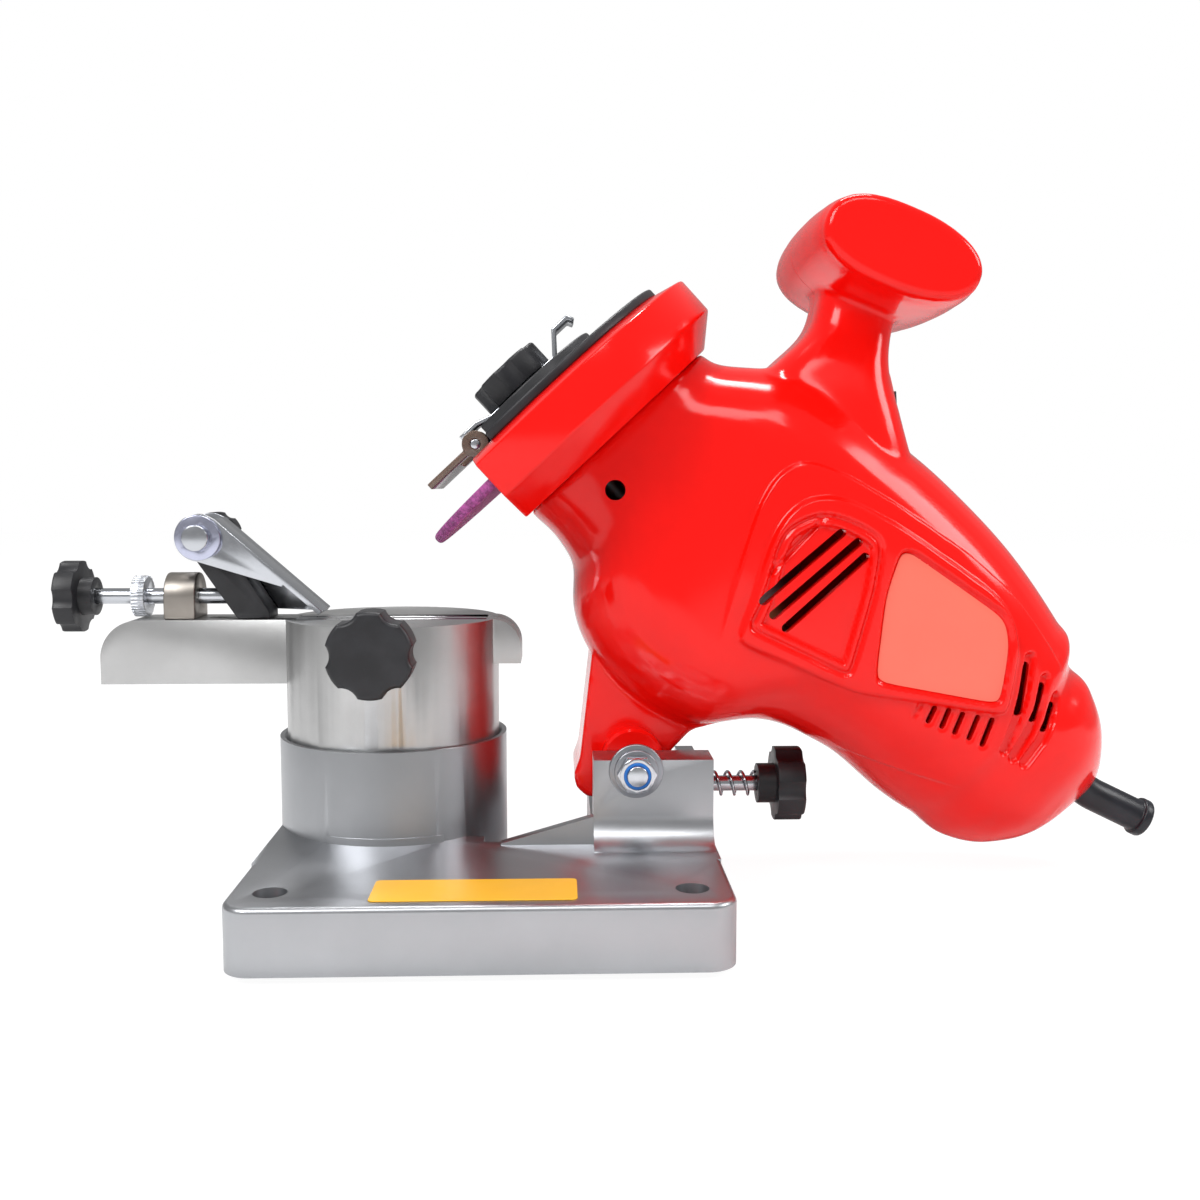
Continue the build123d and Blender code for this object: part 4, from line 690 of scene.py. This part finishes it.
class SharpenerColours(bpy.types.PropertyGroup):
    """Colours that a user would change."""

    body: colour_setting("Body plastic", "Gloss plastic of the head and guard", (0.88, 0.005, 0.003))
    casting: colour_setting("Casting", "Metal of the base casting", (0.47, 0.48, 0.50))
    zinc: colour_setting("Zinc plate", "Plated screws, nuts and sheet parts", (0.62, 0.64, 0.68))
    trim: colour_setting("Black trim", "Knobs and other black plastic", (0.018, 0.018, 0.021))
    abrasive: colour_setting("Abrasive", "Grains of the grinding disc", (0.40, 0.085, 0.30))
    side_label: colour_setting("Side label", "Bare plate on the side of the head", (1.0, 0.165, 0.11))
    base_label: colour_setting("Base plate", "Bare plate on top of the base", (0.92, 0.50, 0.03))


class SharpenerSizes(bpy.types.PropertyGroup):
    """Sizes of the finish that a user would change."""

    seam: FloatProperty(name="Seam", description="Gap between the halves of the head",
                        unit="LENGTH", default=2 * SEAM_GAP * MM, min=0)
    casting_edge: FloatProperty(name="Casting edge", description="Round on the edges of the castings",
                                unit="LENGTH", default=0.0009, min=0)
    light: FloatProperty(name="Light", description="Level of the studio light", default=1.0, min=0)


def colours():
    return bpy.context.scene.sharpener_colours


def sizes():
    return bpy.context.scene.sharpener_sizes


finishes = {}


def finish(name, maker, *values, **more):
    """The material of a name, made the first time that it is asked for."""
    if name not in finishes:
        finishes[name] = maker(name, *values, **more)
    return finishes[name]


def red():
    return finish("red_gloss", gloss_plastic, tuple(colours().body), rough=0.14, grain=0.02)


def black():
    return finish("black_trim", rough_plastic, tuple(colours().trim))


def zinc():
    return finish("zinc_plate", satin_metal, tuple(colours().zinc), rough=0.22, scratch=0.05, scale=420.0)


def paint(piece, material):
    piece.data.materials.clear()
    piece.data.materials.append(material)


def place(piece, body, slot_name, material, replaced=()):
    """Paints a finished piece, hides the nodes that it stands for and sets it on its body."""
    paint(piece, material)
    if replaced:
        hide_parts(*replaced)
    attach(piece, body)
    return piece


def copy_of(node):
    """Merged copy of a CAD node, its flat faces made whole."""
    source = frame["nodes"][node]
    piece = bpy.data.objects.new(node + "_piece", source.data.copy())
    bpy.context.collection.objects.link(piece)
    edit(
        piece,
        lambda: bpy.ops.mesh.remove_doubles(threshold=1e-6),
        lambda: bpy.ops.mesh.dissolve_limited(angle_limit=radians(0.6)),
    )
    return piece


def soften(piece, width, segments=2, angle=34.0):
    """Rounds the hard edges of a piece by a width in millimetres."""
    modify(piece, "BEVEL", width=width * MM, segments=segments, limit_method="ANGLE",
           angle_limit=radians(angle), use_clamp_overlap=True, harden_normals=False, miter_outer="MITER_ARC")
    smooth(piece, angle)
    return piece


def softened(node, width, material, segments=2):
    """A CAD node with its edges rounded, in its place on its own body."""
    piece = soften(copy_of(node), width, segments)
    return place(piece, BODY_OF[node], SLOT_OF[node], material, (node,))


# ---------------------------------------------------------------- the head's shell
def body_rings(inset=0.0, front=0.0, rear=0.0, steps=2.0):
    rings = []
    for number, (along, low, high, half, corner) in enumerate(BODY_SECTIONS):
        ring = rounded_ring(half - inset, low + inset, high - inset, max(corner - inset, 1.0))
        if number == 0:
            rings.append([tuple(on_head(along + front, up, across)) for across, up in ring])
            continue
        if number == len(BODY_SECTIONS) - 1:
            along -= rear
        rings.append([tuple(on_body(along, up, across)) for across, up in ring])
    return eased([section[0] for section in BODY_SECTIONS], rings, steps)


def stem_rings(inset=0.0, steps=2.0):
    rings = []
    for height, left, right, half, corner in STEM_SECTIONS:
        ring = rounded_ring(half - inset, left + inset, right - inset, corner - inset)
        rings.append([(x, y, height) for y, x in ring])
    return eased([section[0] for section in STEM_SECTIONS], rings, steps)


def squared(value, power):
    """Swells an oval towards its box."""
    return abs(value) ** power * (1 if value > 0 else -1)


def grip_rings():
    """Ovals of the cross grip: fuller at the front than at the back."""
    angle = radians(GRIP_SLOPE)
    rows = [(-across, chord, depth) for across, chord, depth in reversed(GRIP_SECTIONS[1:])] + GRIP_SECTIONS
    rings = []
    for across, chord, depth in rows:
        ring = []
        for number in range(GRIP_POINTS):
            turn = 2 * pi * number / GRIP_POINTS
            run = chord / 2 * squared(cos(turn), 0.98 if cos(turn) > 0 else 0.72)
            rise = depth / 2 * squared(sin(turn), 0.86)
            ring.append((GRIP_CENTRE[0] + run * cos(angle) + rise * sin(angle), across,
                         GRIP_CENTRE[1] - run * sin(angle) + rise * cos(angle)))
        rings.append(ring)
    return eased([row[0] for row in rows], rings, GRIP_STEP)


def shell_form():
    """Outer form of the head: body, stem, grip, lug and cord collar melted into one skin."""
    piece = loft("shell_form", body_rings())
    join(piece, loft("stem", stem_rings()))
    join(piece, loft("grip", grip_rings()))
    join(piece, prism("lug", LUG_OUTLINE, -LUG_HALF, LUG_HALF))
    join(piece, turned("cord_collar", CORD_COLLAR, cord_line, 64))
    modify(piece, "REMESH", mode="VOXEL", voxel_size=SHELL_VOXEL * MM, adaptivity=0.0)
    modify(piece, "SMOOTH", factor=0.5, iterations=SKIN_ROUNDS)
    for spot, reach, rounds in MELTED_SPOTS:
        melt(piece, spot, reach, rounds)
    return piece


def melt(piece, spot, reach, rounds):
    """Smooths a piece further about a spot, less and less towards its reach."""
    piece.vertex_groups.clear()
    group = piece.vertex_groups.new(name="melt")
    centre = Vector(spot) * MM
    for vertex in piece.data.vertices:
        away = (vertex.co - centre).length / MM
        if away < reach:
            group.add([vertex.index], min(1.0, (reach - away) / (reach * 0.4)), "REPLACE")
    modify(piece, "SMOOTH", factor=0.5, iterations=rounds, vertex_group="melt")
    piece.vertex_groups.clear()


def raised(distance, height, start, end):
    """A height that is full inside an outline and fades out between two distances from it."""
    return height * (1 - ease(distance, start, end))


def side_relief(points):
    """How far each point of the side stands out, in millimetres."""
    flat = points[:, [0, 2]]
    from_start = points - np.array(BODY_START)
    up = from_start @ np.array(BODY_UP)
    along = from_start @ np.array(BODY_ALONG)
    fade = ease(up, *BELT_UP) * (1 - ease(along, *BELT_ALONG))
    belt = outline_distance(flat, BELT)
    inner = outline_distance(flat, INNER_BELT)
    vent = outline_distance(flat, VENT_PANEL)
    label = outline_distance(flat, LABEL_PANEL)
    relief = raised(belt, *BELT_STEP) * fade
    relief += raised(inner, *INNER_BELT_STEP) * ease(up, *INNER_BELT_UP)
    for vent_step in VENT_STEPS:
        relief += raised(vent, *vent_step)
    relief += raised(label, *LABEL_STEP)
    for flute in REAR_FLUTES:
        relief += raised(path_distance(flat, flute), *FLUTE_STEP)
    for first, second in (PRESSED_GROOVE, BLIND_SLOT):
        relief += raised(line_distance(flat, first, second), *GROOVE_STEP)
    for first, second, width in SMALL_SLOTS:
        relief += raised(line_distance(flat, first, second) - width / 2, *SMALL_SLOT_STEP)
    return relief


def refine_sides(piece):
    """Halves the mesh size along the edges of the relief."""
    faces = piece.data.polygons
    centres = np.array([face.center for face in faces]) / MM
    flat = centres[:, [0, 2]]
    near = np.min([np.abs(outline_distance(flat, outline) + FINE_INSET)
                   for outline in (BELT, INNER_BELT, VENT_PANEL, LABEL_PANEL)], axis=0) < FINE_EDGE
    near |= outline_distance(flat, VENT_PANEL) < FINE_PANEL
    for flute in REAR_FLUTES:
        near |= path_distance(flat, flute) < FINE_FLUTE
    for first, second, width in SMALL_SLOTS:
        near |= line_distance(flat, first, second) < width / 2 + FINE_SLOT
    near &= np.abs(centres[:, 1]) > SIDE_FADE[0]
    near &= (centres[:, 2] < FINE_TOP) & (centres[:, 0] > FINE_FRONT)
    piece.data.vertices.foreach_set("select", np.zeros(len(piece.data.vertices), bool))
    piece.data.edges.foreach_set("select", np.zeros(len(piece.data.edges), bool))
    faces.foreach_set("select", near)
    select_only(piece)
    bpy.context.tool_settings.mesh_select_mode = (False, False, True)
    bpy.ops.object.mode_set(mode="EDIT")
    bpy.ops.mesh.subdivide(number_cuts=1)
    bpy.ops.object.mode_set(mode="OBJECT")
    bpy.context.tool_settings.mesh_select_mode = (True, False, False)


def press_sides(piece):
    """Moves the points of both sides out or in by their relief."""
    count = len(piece.data.vertices)
    points = np.empty(count * 3)
    piece.data.vertices.foreach_get("co", points)
    points = points.reshape(-1, 3) / MM
    normals = np.empty(count * 3)
    piece.data.vertices.foreach_get("normal", normals)
    normals = normals.reshape(-1, 3)
    facing = ease(np.abs(normals[:, 1]), *FACING_FADE) * ease(np.abs(points[:, 1]), *SIDE_FADE)
    body_only = 1 - ease(points[:, 2], *TOP_FADE)
    points += (side_relief(points) * facing * body_only)[:, None] * normals
    piece.data.vertices.foreach_set("co", (points * MM).ravel())
    piece.data.update()


def hollow(piece):
    """Takes out the room inside the shell and every opening through it."""
    room = loft("body_room", body_rings(WALL, ROOM_FRONT, WALL, ROOM_STEP))
    cut(room, seam_web())
    cut(piece, room)
    cut(piece, loft("stem_room", stem_rings(WALL, ROOM_STEP)))
    tools = [
        prism("bore", disc_outline(*PIVOT, HINGE_BORE), -OUTSIDE, OUTSIDE),
        turned("spindle_way", SPINDLE_WAY, on_head, 48),
        turned("cord_way", CORD_WAY, cord_line, 48),
        switch_pocket(),
    ]
    for hand in (-1, 1):
        start, end = sorted((hand * SLOT_FROM, hand * OUTSIDE))
        for first, second, width in VENT_SLOTS + SMALL_SLOTS + REAR_SLOTS:
            tools.append(prism("slot", slot_outline(first, second, width), start, end))
    for spot in SCREW_WELLS:
        centre = on_body(*spot)
        tools.append(prism("well", disc_outline(centre.x, centre.z, SCREW_WELL_RADIUS), WELL_FROM, OUTSIDE))
    centre = on_body(*LOCK_HOLE)
    outline = disc_outline(centre.x, centre.z, LOCK_HOLE_RADIUS)
    tools.append(prism("lock_hole", outline, -OUTSIDE, -LOCK_HOLE_FROM))
    cut(piece, together(tools))


def cord_line(along, up=0.0, across=0.0):
    """Point about the line of the cord sleeve where it leaves the shell."""
    return on_body(CORD_EXIT[0] + along, CORD_EXIT[1] + up, across)


def seam_web():
    """Thin wall in the seam's plane, above the motor and behind it, that keeps light out."""
    outline = [(on_body(*corner).x, on_body(*corner).z) for corner in SEAM_WEB]
    return prism("seam_web", outline, -SEAM_WEB_HALF, SEAM_WEB_HALF)


def on_switch(out, rise, across):
    return SWITCH_SPOT + SWITCH_OUT * out + SWITCH_RISE * rise + Vector((0.0, across, 0.0))


def switch_pocket(floor=-2.6):
    """Pocket for the switch plate, down to its floor."""
    half_long, half_wide = SWITCH_POCKET
    corners = [(half_long * a, half_wide * b) for a, b in ((1, 1), (-1, 1), (-1, -1), (1, -1))]
    rings = [[tuple(on_switch(depth, *corner)) for corner in corners] for depth in (SWITCH_POCKET_TOP, floor)]
    return loft("switch_pocket", rings)


def switch_frame():
    """Raised rim round the switch plate."""
    half_long, half_wide = SWITCH_RIM
    rings = []
    for depth, grow in SWITCH_RIM_ROWS:
        ring = rounded_ring(half_wide + grow, -half_long - grow, half_long + grow, SWITCH_RIM_CORNER)
        rings.append([tuple(on_switch(depth, rise, across)) for across, rise in ring])
    frame_piece = loft("switch_frame", rings)
    cut(frame_piece, switch_pocket(-20.0))
    return frame_piece


def half_shell(form, name, hand):
    """One half of the shell, cut off at the seam."""
    piece = form.copy()
    piece.data = form.data.copy()
    piece.name = name
    bpy.context.collection.objects.link(piece)
    seam = (0.0, hand * sizes().seam / 2, 0.0)
    edit(piece, lambda: bpy.ops.mesh.bisect(plane_co=seam, plane_no=(0, 1, 0), use_fill=True,
                                            clear_inner=hand > 0, clear_outer=hand < 0))
    smooth(piece, 38.0)
    return piece


class SHARPENER_OT_shell(bpy.types.Operator):
    """Moulded shell of the head in two halves, with its vents, wells and side panels"""

    bl_idname = "sharpener.shell"
    bl_label = "Head shell"

    def execute(self, context):
        form = shell_form()
        refine_sides(form)
        press_sides(form)
        hollow(form)
        for hand, node in ((1, "housing_left"), (-1, "housing_right")):
            piece = half_shell(form, node + "_shell", hand)
            place(piece, "head", SLOT_OF[node], red(), (node,))
        self.boss()
        rim = switch_frame()
        smooth(rim, 40.0)
        place(rim, "head", "red_plastic", red())
        self.side_labels(form)
        bpy.data.objects.remove(form)
        return {"FINISHED"}

    def boss(self):
        """Round bosses about the hinge bolt, pieces of their own so that their edges stay crisp."""
        for hand in (-1, 1):
            def spot(along, up, across):
                return Vector((PIVOT[0] + up, hand * along, PIVOT[1] + across))
            profile = [(LUG_BOSS_FROM, HINGE_BORE), (LUG_BOSS_FROM, LUG_BOSS),
                       (LUG_BOSS_HALF - LUG_BOSS_CHAMFER, LUG_BOSS),
                       (LUG_BOSS_HALF, LUG_BOSS - LUG_BOSS_CHAMFER), (LUG_BOSS_HALF, HINGE_BORE)]
            piece = turned("lug_boss_left" if hand > 0 else "lug_boss_right", profile, spot, 72)
            smooth(piece)
            place(piece, "head", "red_plastic", red())

    def side_labels(self, form):
        """Bare plates that lie in the label panels of both sides."""
        plate = finish("salmon_plate", printed_plate, tuple(colours().side_label))
        tree = BVHTree.FromPolygons([vertex.co for vertex in form.data.vertices],
                                    [face.vertices for face in form.data.polygons])
        xs, zs = [np.arange(*span, LABEL_GRID) for span in LABEL_SPAN]
        grid = np.array([(x, z) for x in xs for z in zs])
        reach = outline_distance(grid, LABEL_PANEL) + LABEL_MARGIN
        nudge = 0.01
        lean = np.stack([outline_distance(grid + step, LABEL_PANEL) + LABEL_MARGIN - reach
                         for step in ((nudge, 0.0), (0.0, nudge))], axis=1) / nudge
        rim = (reach > -LABEL_GRID / 2)[:, None] * reach[:, None] * lean
        grid = (grid - rim).reshape(len(xs), len(zs), 2)
        inside = (reach < LABEL_GRID / 2).reshape(len(xs), len(zs))
        for hand in (-1, 1):
            index = {}
            points = []
            for i in range(len(xs)):
                for j in range(len(zs)):
                    if not inside[i, j]:
                        continue
                    x, z = grid[i, j]
                    start = Vector((x * MM, hand * OUTSIDE * MM, z * MM))
                    hit = tree.ray_cast(start, Vector((0, -hand, 0)))[0]
                    if hit is None:
                        raise RuntimeError("the label misses the shell")
                    index[i, j] = len(points)
                    points.append((x, hit.y / MM + hand * LABEL_RISE, z))
            faces = []
            for i, j in index:
                corners = [(i, j), (i + 1, j), (i + 1, j + 1), (i, j + 1)]
                known = [index[corner] for corner in corners if corner in index]
                if len(known) > 2:
                    faces.append(tuple(known))
            faces += [(index[i, j], index[i - 1, j + 1], index[i, j + 1]) for i, j in index
                      if (i - 1, j) not in index and (i - 1, j + 1) in index and (i, j + 1) in index]
            piece = new_piece("side_plate_left" if hand > 0 else "side_plate_right", points, faces)
            outward(piece)
            if piece.data.polygons[0].normal.y * hand < 0:
                piece.data.flip_normals()
            modify(piece, "SOLIDIFY", thickness=LABEL_SHEET * MM, offset=-1.0)
            smooth(piece, 40.0)
            place(piece, "head", "red_plastic", plate)


class SHARPENER_OT_guard(bpy.types.Operator):
    """Disc guard with its cover, screws and visor"""

    bl_idname = "sharpener.guard"
    bl_label = "Disc guard"

    def execute(self, context):
        piece = turned("guard_shroud", GUARD_PROFILE, on_head, 224)
        floor = on_head(0.0, GUARD_CUT) * MM
        edit(piece, lambda: bpy.ops.mesh.bisect(plane_co=floor, plane_no=UPWARD, use_fill=True,
                                                clear_inner=True))
        soften(piece, 0.9, 3, 22.0)
        place(piece, "head", SLOT_OF["wheel_guard"], red(), ("wheel_guard",))
        for node, width in (("guard_cover", 0.6), ("cover_knob", 0.5), ("visor_hinge", 0.5)):
            softened(node, width, black())
        for node, width in (("guard_screws", 0.25), ("cover_stud", 0.2), ("visor_bracket", 0.3),
                            ("visor_pin", 0.3)):
            softened(node, width, zinc())
        smoke = finish("smoked_visor", smoked_sheet, (0.32, 0.22, 0.17))
        softened("visor", 0.35, smoke)
        return {"FINISHED"}


class SHARPENER_OT_disc(bpy.types.Operator):
    """Grinding disc, its flanges and nut"""

    bl_idname = "sharpener.disc"
    bl_label = "Grinding disc"

    def execute(self, context):
        grain = finish("disc_grain", abrasive_grain, tuple(colours().abrasive))
        softened("grinding_wheel", 0.9, grain, 3)
        steel = finish("ground_steel", satin_metal, (0.56, 0.56, 0.58), rough=0.33, scratch=0.1)
        for node in ("inner_flange", "outer_flange", "wheel_nut"):
            softened(node, 0.4, steel)
        return {"FINISHED"}


class SHARPENER_OT_base(bpy.types.Operator):
    """Cast base with its bare yellow plate"""

    bl_idname = "sharpener.base"
    bl_label = "Base"

    def execute(self, context):
        casting = finish("base_casting_satin", cast_metal, tuple(colours().casting))
        softened("base_casting", sizes().casting_edge / MM, casting, 3)
        plate = finish("yellow_plate", printed_plate, tuple(colours().base_label))
        softened("base_label", 0.1, plate, 1)
        return {"FINISHED"}


class SHARPENER_OT_hinge(bpy.types.Operator):
    """Hinge bolt, nut and washers, and the depth stop"""

    bl_idname = "sharpener.hinge"
    bl_label = "Hinge and depth stop"

    def execute(self, context):
        dull = finish("dull_zinc", satin_metal, (0.36, 0.37, 0.40), rough=0.36)
        for node, material in (("hinge_bolt", zinc()), ("hinge_washers", dull), ("hinge_lock_washer", dull),
                               ("hinge_nut", zinc())):
            softened(node, 0.3, material)
        nylon = finish("blue_nylon", gloss_plastic, (0.02, 0.16, 0.55), rough=0.35)
        softened("hinge_nut_insert", 0.2, nylon)
        softened("depth_screw", 0.3, zinc())
        softened("depth_knob", 0.5, black())
        self.spring()
        return {"FINISHED"}

    def spring(self):
        """Spring between the ear and the knob."""
        piece = copy_of("depth_spring")
        smooth(piece, 60.0)
        paint(piece, zinc())
        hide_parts("depth_spring")
        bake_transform(piece)


class SHARPENER_OT_vise(bpy.types.Operator):
    """Swivelling chain vise with its jaws, arm, feed screw and clamp"""

    bl_idname = "sharpener.vise"
    bl_label = "Chain vise"

    def execute(self, context):
        turned_grey = finish("vise_satin", satin_metal, (0.55, 0.55, 0.55), rough=0.36, stretch=(1, 1, 7))
        block_grey = finish("block_satin", satin_metal, (0.36, 0.33, 0.30), rough=0.4)
        jaw = finish("jaw_steel", satin_metal, (0.55, 0.55, 0.56), rough=0.3)
        softened("turret_body", 0.8, turned_grey, 3)
        softened("feed_block", 0.5, block_grey)
        for node in ("fixed_jaw", "moving_jaw"):
            softened(node, 0.3, jaw)
        for node in ("swivel_bolt", "swivel_washer", "clamp_screw", "feed_screw", "lock_nut"):
            softened(node, 0.3, zinc())
        for node in ("clamp_knob", "feed_knob"):
            softened(node, 0.5, black())
        return {"FINISHED"}


class SHARPENER_OT_pawl(bpy.types.Operator):
    """Chain stop on its support"""

    bl_idname = "sharpener.pawl"
    bl_label = "Chain stop"

    def execute(self, context):
        softened("pawl_support", 0.4, black())
        softened("pawl", 0.35, zinc())
        lilac = finish("passivated_zinc", satin_metal, (0.62, 0.64, 0.80), rough=0.24, scratch=0.05)
        softened("pawl_washer", 0.2, lilac)
        softened("pawl_bolt", 0.3, zinc())
        softened("pawl_knob", 0.5, black())
        return {"FINISHED"}


class SHARPENER_OT_inside(bpy.types.Operator):
    """Motor, switch and cord pieces that the shell holds"""

    bl_idname = "sharpener.inside"
    bl_label = "Inner pieces"

    def execute(self, context):
        steel = finish("motor_steel", satin_metal, (0.42, 0.42, 0.44), rough=0.42)
        copper = finish("winding_copper", satin_metal, (0.72, 0.34, 0.16), rough=0.34, stretch=(1, 9, 1))
        carbon = finish("brush_carbon", rough_plastic, (0.03, 0.03, 0.03))
        rubber = finish("sleeve_rubber", rough_plastic, (0.013, 0.014, 0.020), rough=0.36)
        for node in ("armature_shaft", "armature_core", "stator_core", "front_bearing", "rear_bearing"):
            paint(frame["nodes"][node], steel)
        for node in ("armature_winding", "commutator", "field_windings", "brush_holders"):
            paint(frame["nodes"][node], copper)
        paint(frame["nodes"]["carbon_brushes"], carbon)
        paint(frame["nodes"]["brush_springs"], zinc())
        for node in ("fan", "switch_body", "capacitor", "cord_clamp"):
            paint(frame["nodes"][node], black())
        softened("housing_screws", 0.3, zinc())
        softened("switch_plate", 0.4, black())
        softened("rocker", 0.5, black())
        softened("cord_guard", 0.5, rubber)
        return {"FINISHED"}


class SHARPENER_OT_stage(bpy.types.Operator):
    """Pale floor, backdrop, soft lamps and the camera"""

    bl_idname = "sharpener.stage"
    bl_label = "Stage"

    def execute(self, context):
        self.floor()
        self.world(context)
        for name, where, towards, width, height, watts in LAMPS:
            self.lamp(name, where, towards, width, height, watts * sizes().light)
        self.camera(context)
        return {"FINISHED"}

    def lamp(self, name, where, towards, width, height, watts):
        data = bpy.data.lights.new(name, "AREA")
        data.shape = "RECTANGLE"
        data.size = width
        data.size_y = height
        data.energy = watts
        lamp = bpy.data.objects.new(name, data)
        lamp.location = where
        lamp.rotation_euler = (Vector(towards) - Vector(where)).to_track_quat("-Z", "Y").to_euler()
        bpy.context.collection.objects.link(lamp)

    def floor(self):
        corners = ((-1, -1), (1, -1), (1, 1), (-1, 1))
        points = [(FLOOR_HALF * x, FLOOR_HALF * y, FLOOR_HEIGHT) for x, y in corners]
        floor = new_piece("floor", points, [(0, 1, 2, 3)])
        paper = Finish("floor_paper", Base_Color=FLOOR_COLOUR, Roughness=0.9, Specular_IOR_Level=0.1)
        glow = paper.node("ShaderNodeEmission", Strength=FLOOR_GLOW)
        camera_mix(paper.tree, paper.shader, glow, FLOOR_GLOW_SHARE, paper.tree.nodes["Material Output"])
        paint(floor, paper.material)

    def world(self, context):
        world = bpy.data.worlds.new("studio")
        context.scene.world = world
        world.use_nodes = True
        tree = world.node_tree
        tree.nodes.clear()
        skies = []
        for strength in (SKY_LIGHT, SKY_SEEN):
            sky = tree.nodes.new("ShaderNodeBackground")
            sky.inputs["Color"].default_value = (1, 1, 1, 1)
            sky.inputs["Strength"].default_value = strength
            skies.append(sky)
        camera_mix(tree, *skies, 1.0, tree.nodes.new("ShaderNodeOutputWorld"))

    def camera(self, context):
        """Camera about level with the disc, turned a little to the right and down."""
        yaw, pitch = CAMERA_YAW, CAMERA_PITCH
        data = bpy.data.cameras.new("camera")
        data.sensor_width = SENSOR_WIDTH
        data.lens = FOCAL_LENGTH
        data.clip_start = 0.01
        forward = Vector((sin(yaw) * cos(pitch), cos(yaw) * cos(pitch), -sin(pitch)))
        right = Vector((cos(yaw), -sin(yaw), 0.0))
        up = right.cross(forward)
        camera = bpy.data.objects.new("camera", data)
        turn = Matrix((right, up, -forward)).transposed().to_4x4()
        camera.matrix_world = Matrix.Translation(CAMERA_PLACE) @ turn
        bpy.context.collection.objects.link(camera)
        context.scene.camera = camera
        context.scene.view_settings.view_transform = "Standard"


class SHARPENER_PT_panel(bpy.types.Panel):
    """Sizes, colours and pieces of the sharpener"""

    bl_idname = "SHARPENER_PT_panel"
    bl_label = "Chain sharpener"
    bl_space_type = "VIEW_3D"
    bl_region_type = "UI"
    bl_category = "Sharpener"

    def draw(self, context):
        for group in (context.scene.sharpener_colours, context.scene.sharpener_sizes):
            for name in group.bl_rna.properties.keys():
                if name not in ("rna_type", "name"):
                    self.layout.prop(group, name)
        for operator in OPERATORS:
            self.layout.operator(operator.bl_idname)


OPERATORS = (
    SHARPENER_OT_stage,
    SHARPENER_OT_base,
    SHARPENER_OT_hinge,
    SHARPENER_OT_vise,
    SHARPENER_OT_pawl,
    SHARPENER_OT_disc,
    SHARPENER_OT_guard,
    SHARPENER_OT_shell,
    SHARPENER_OT_inside,
)
CLASSES = (SharpenerColours, SharpenerSizes) + OPERATORS + (SHARPENER_PT_panel,)


def register():
    for item in CLASSES:
        bpy.utils.register_class(item)
    bpy.types.Scene.sharpener_colours = PointerProperty(type=SharpenerColours)
    bpy.types.Scene.sharpener_sizes = PointerProperty(type=SharpenerSizes)


def unregister():
    del bpy.types.Scene.sharpener_sizes
    del bpy.types.Scene.sharpener_colours
    for item in reversed(CLASSES):
        bpy.utils.unregister_class(item)


def main():
    register()
    bpy.ops.sharpener.stage()
    bpy.ops.sharpener.base()
    bpy.ops.sharpener.hinge()
    bpy.ops.sharpener.vise()
    bpy.ops.sharpener.pawl()
    bpy.ops.sharpener.disc()
    bpy.ops.sharpener.guard()
    bpy.ops.sharpener.shell()
    bpy.ops.sharpener.inside()


if __name__ == "__main__":
    main()
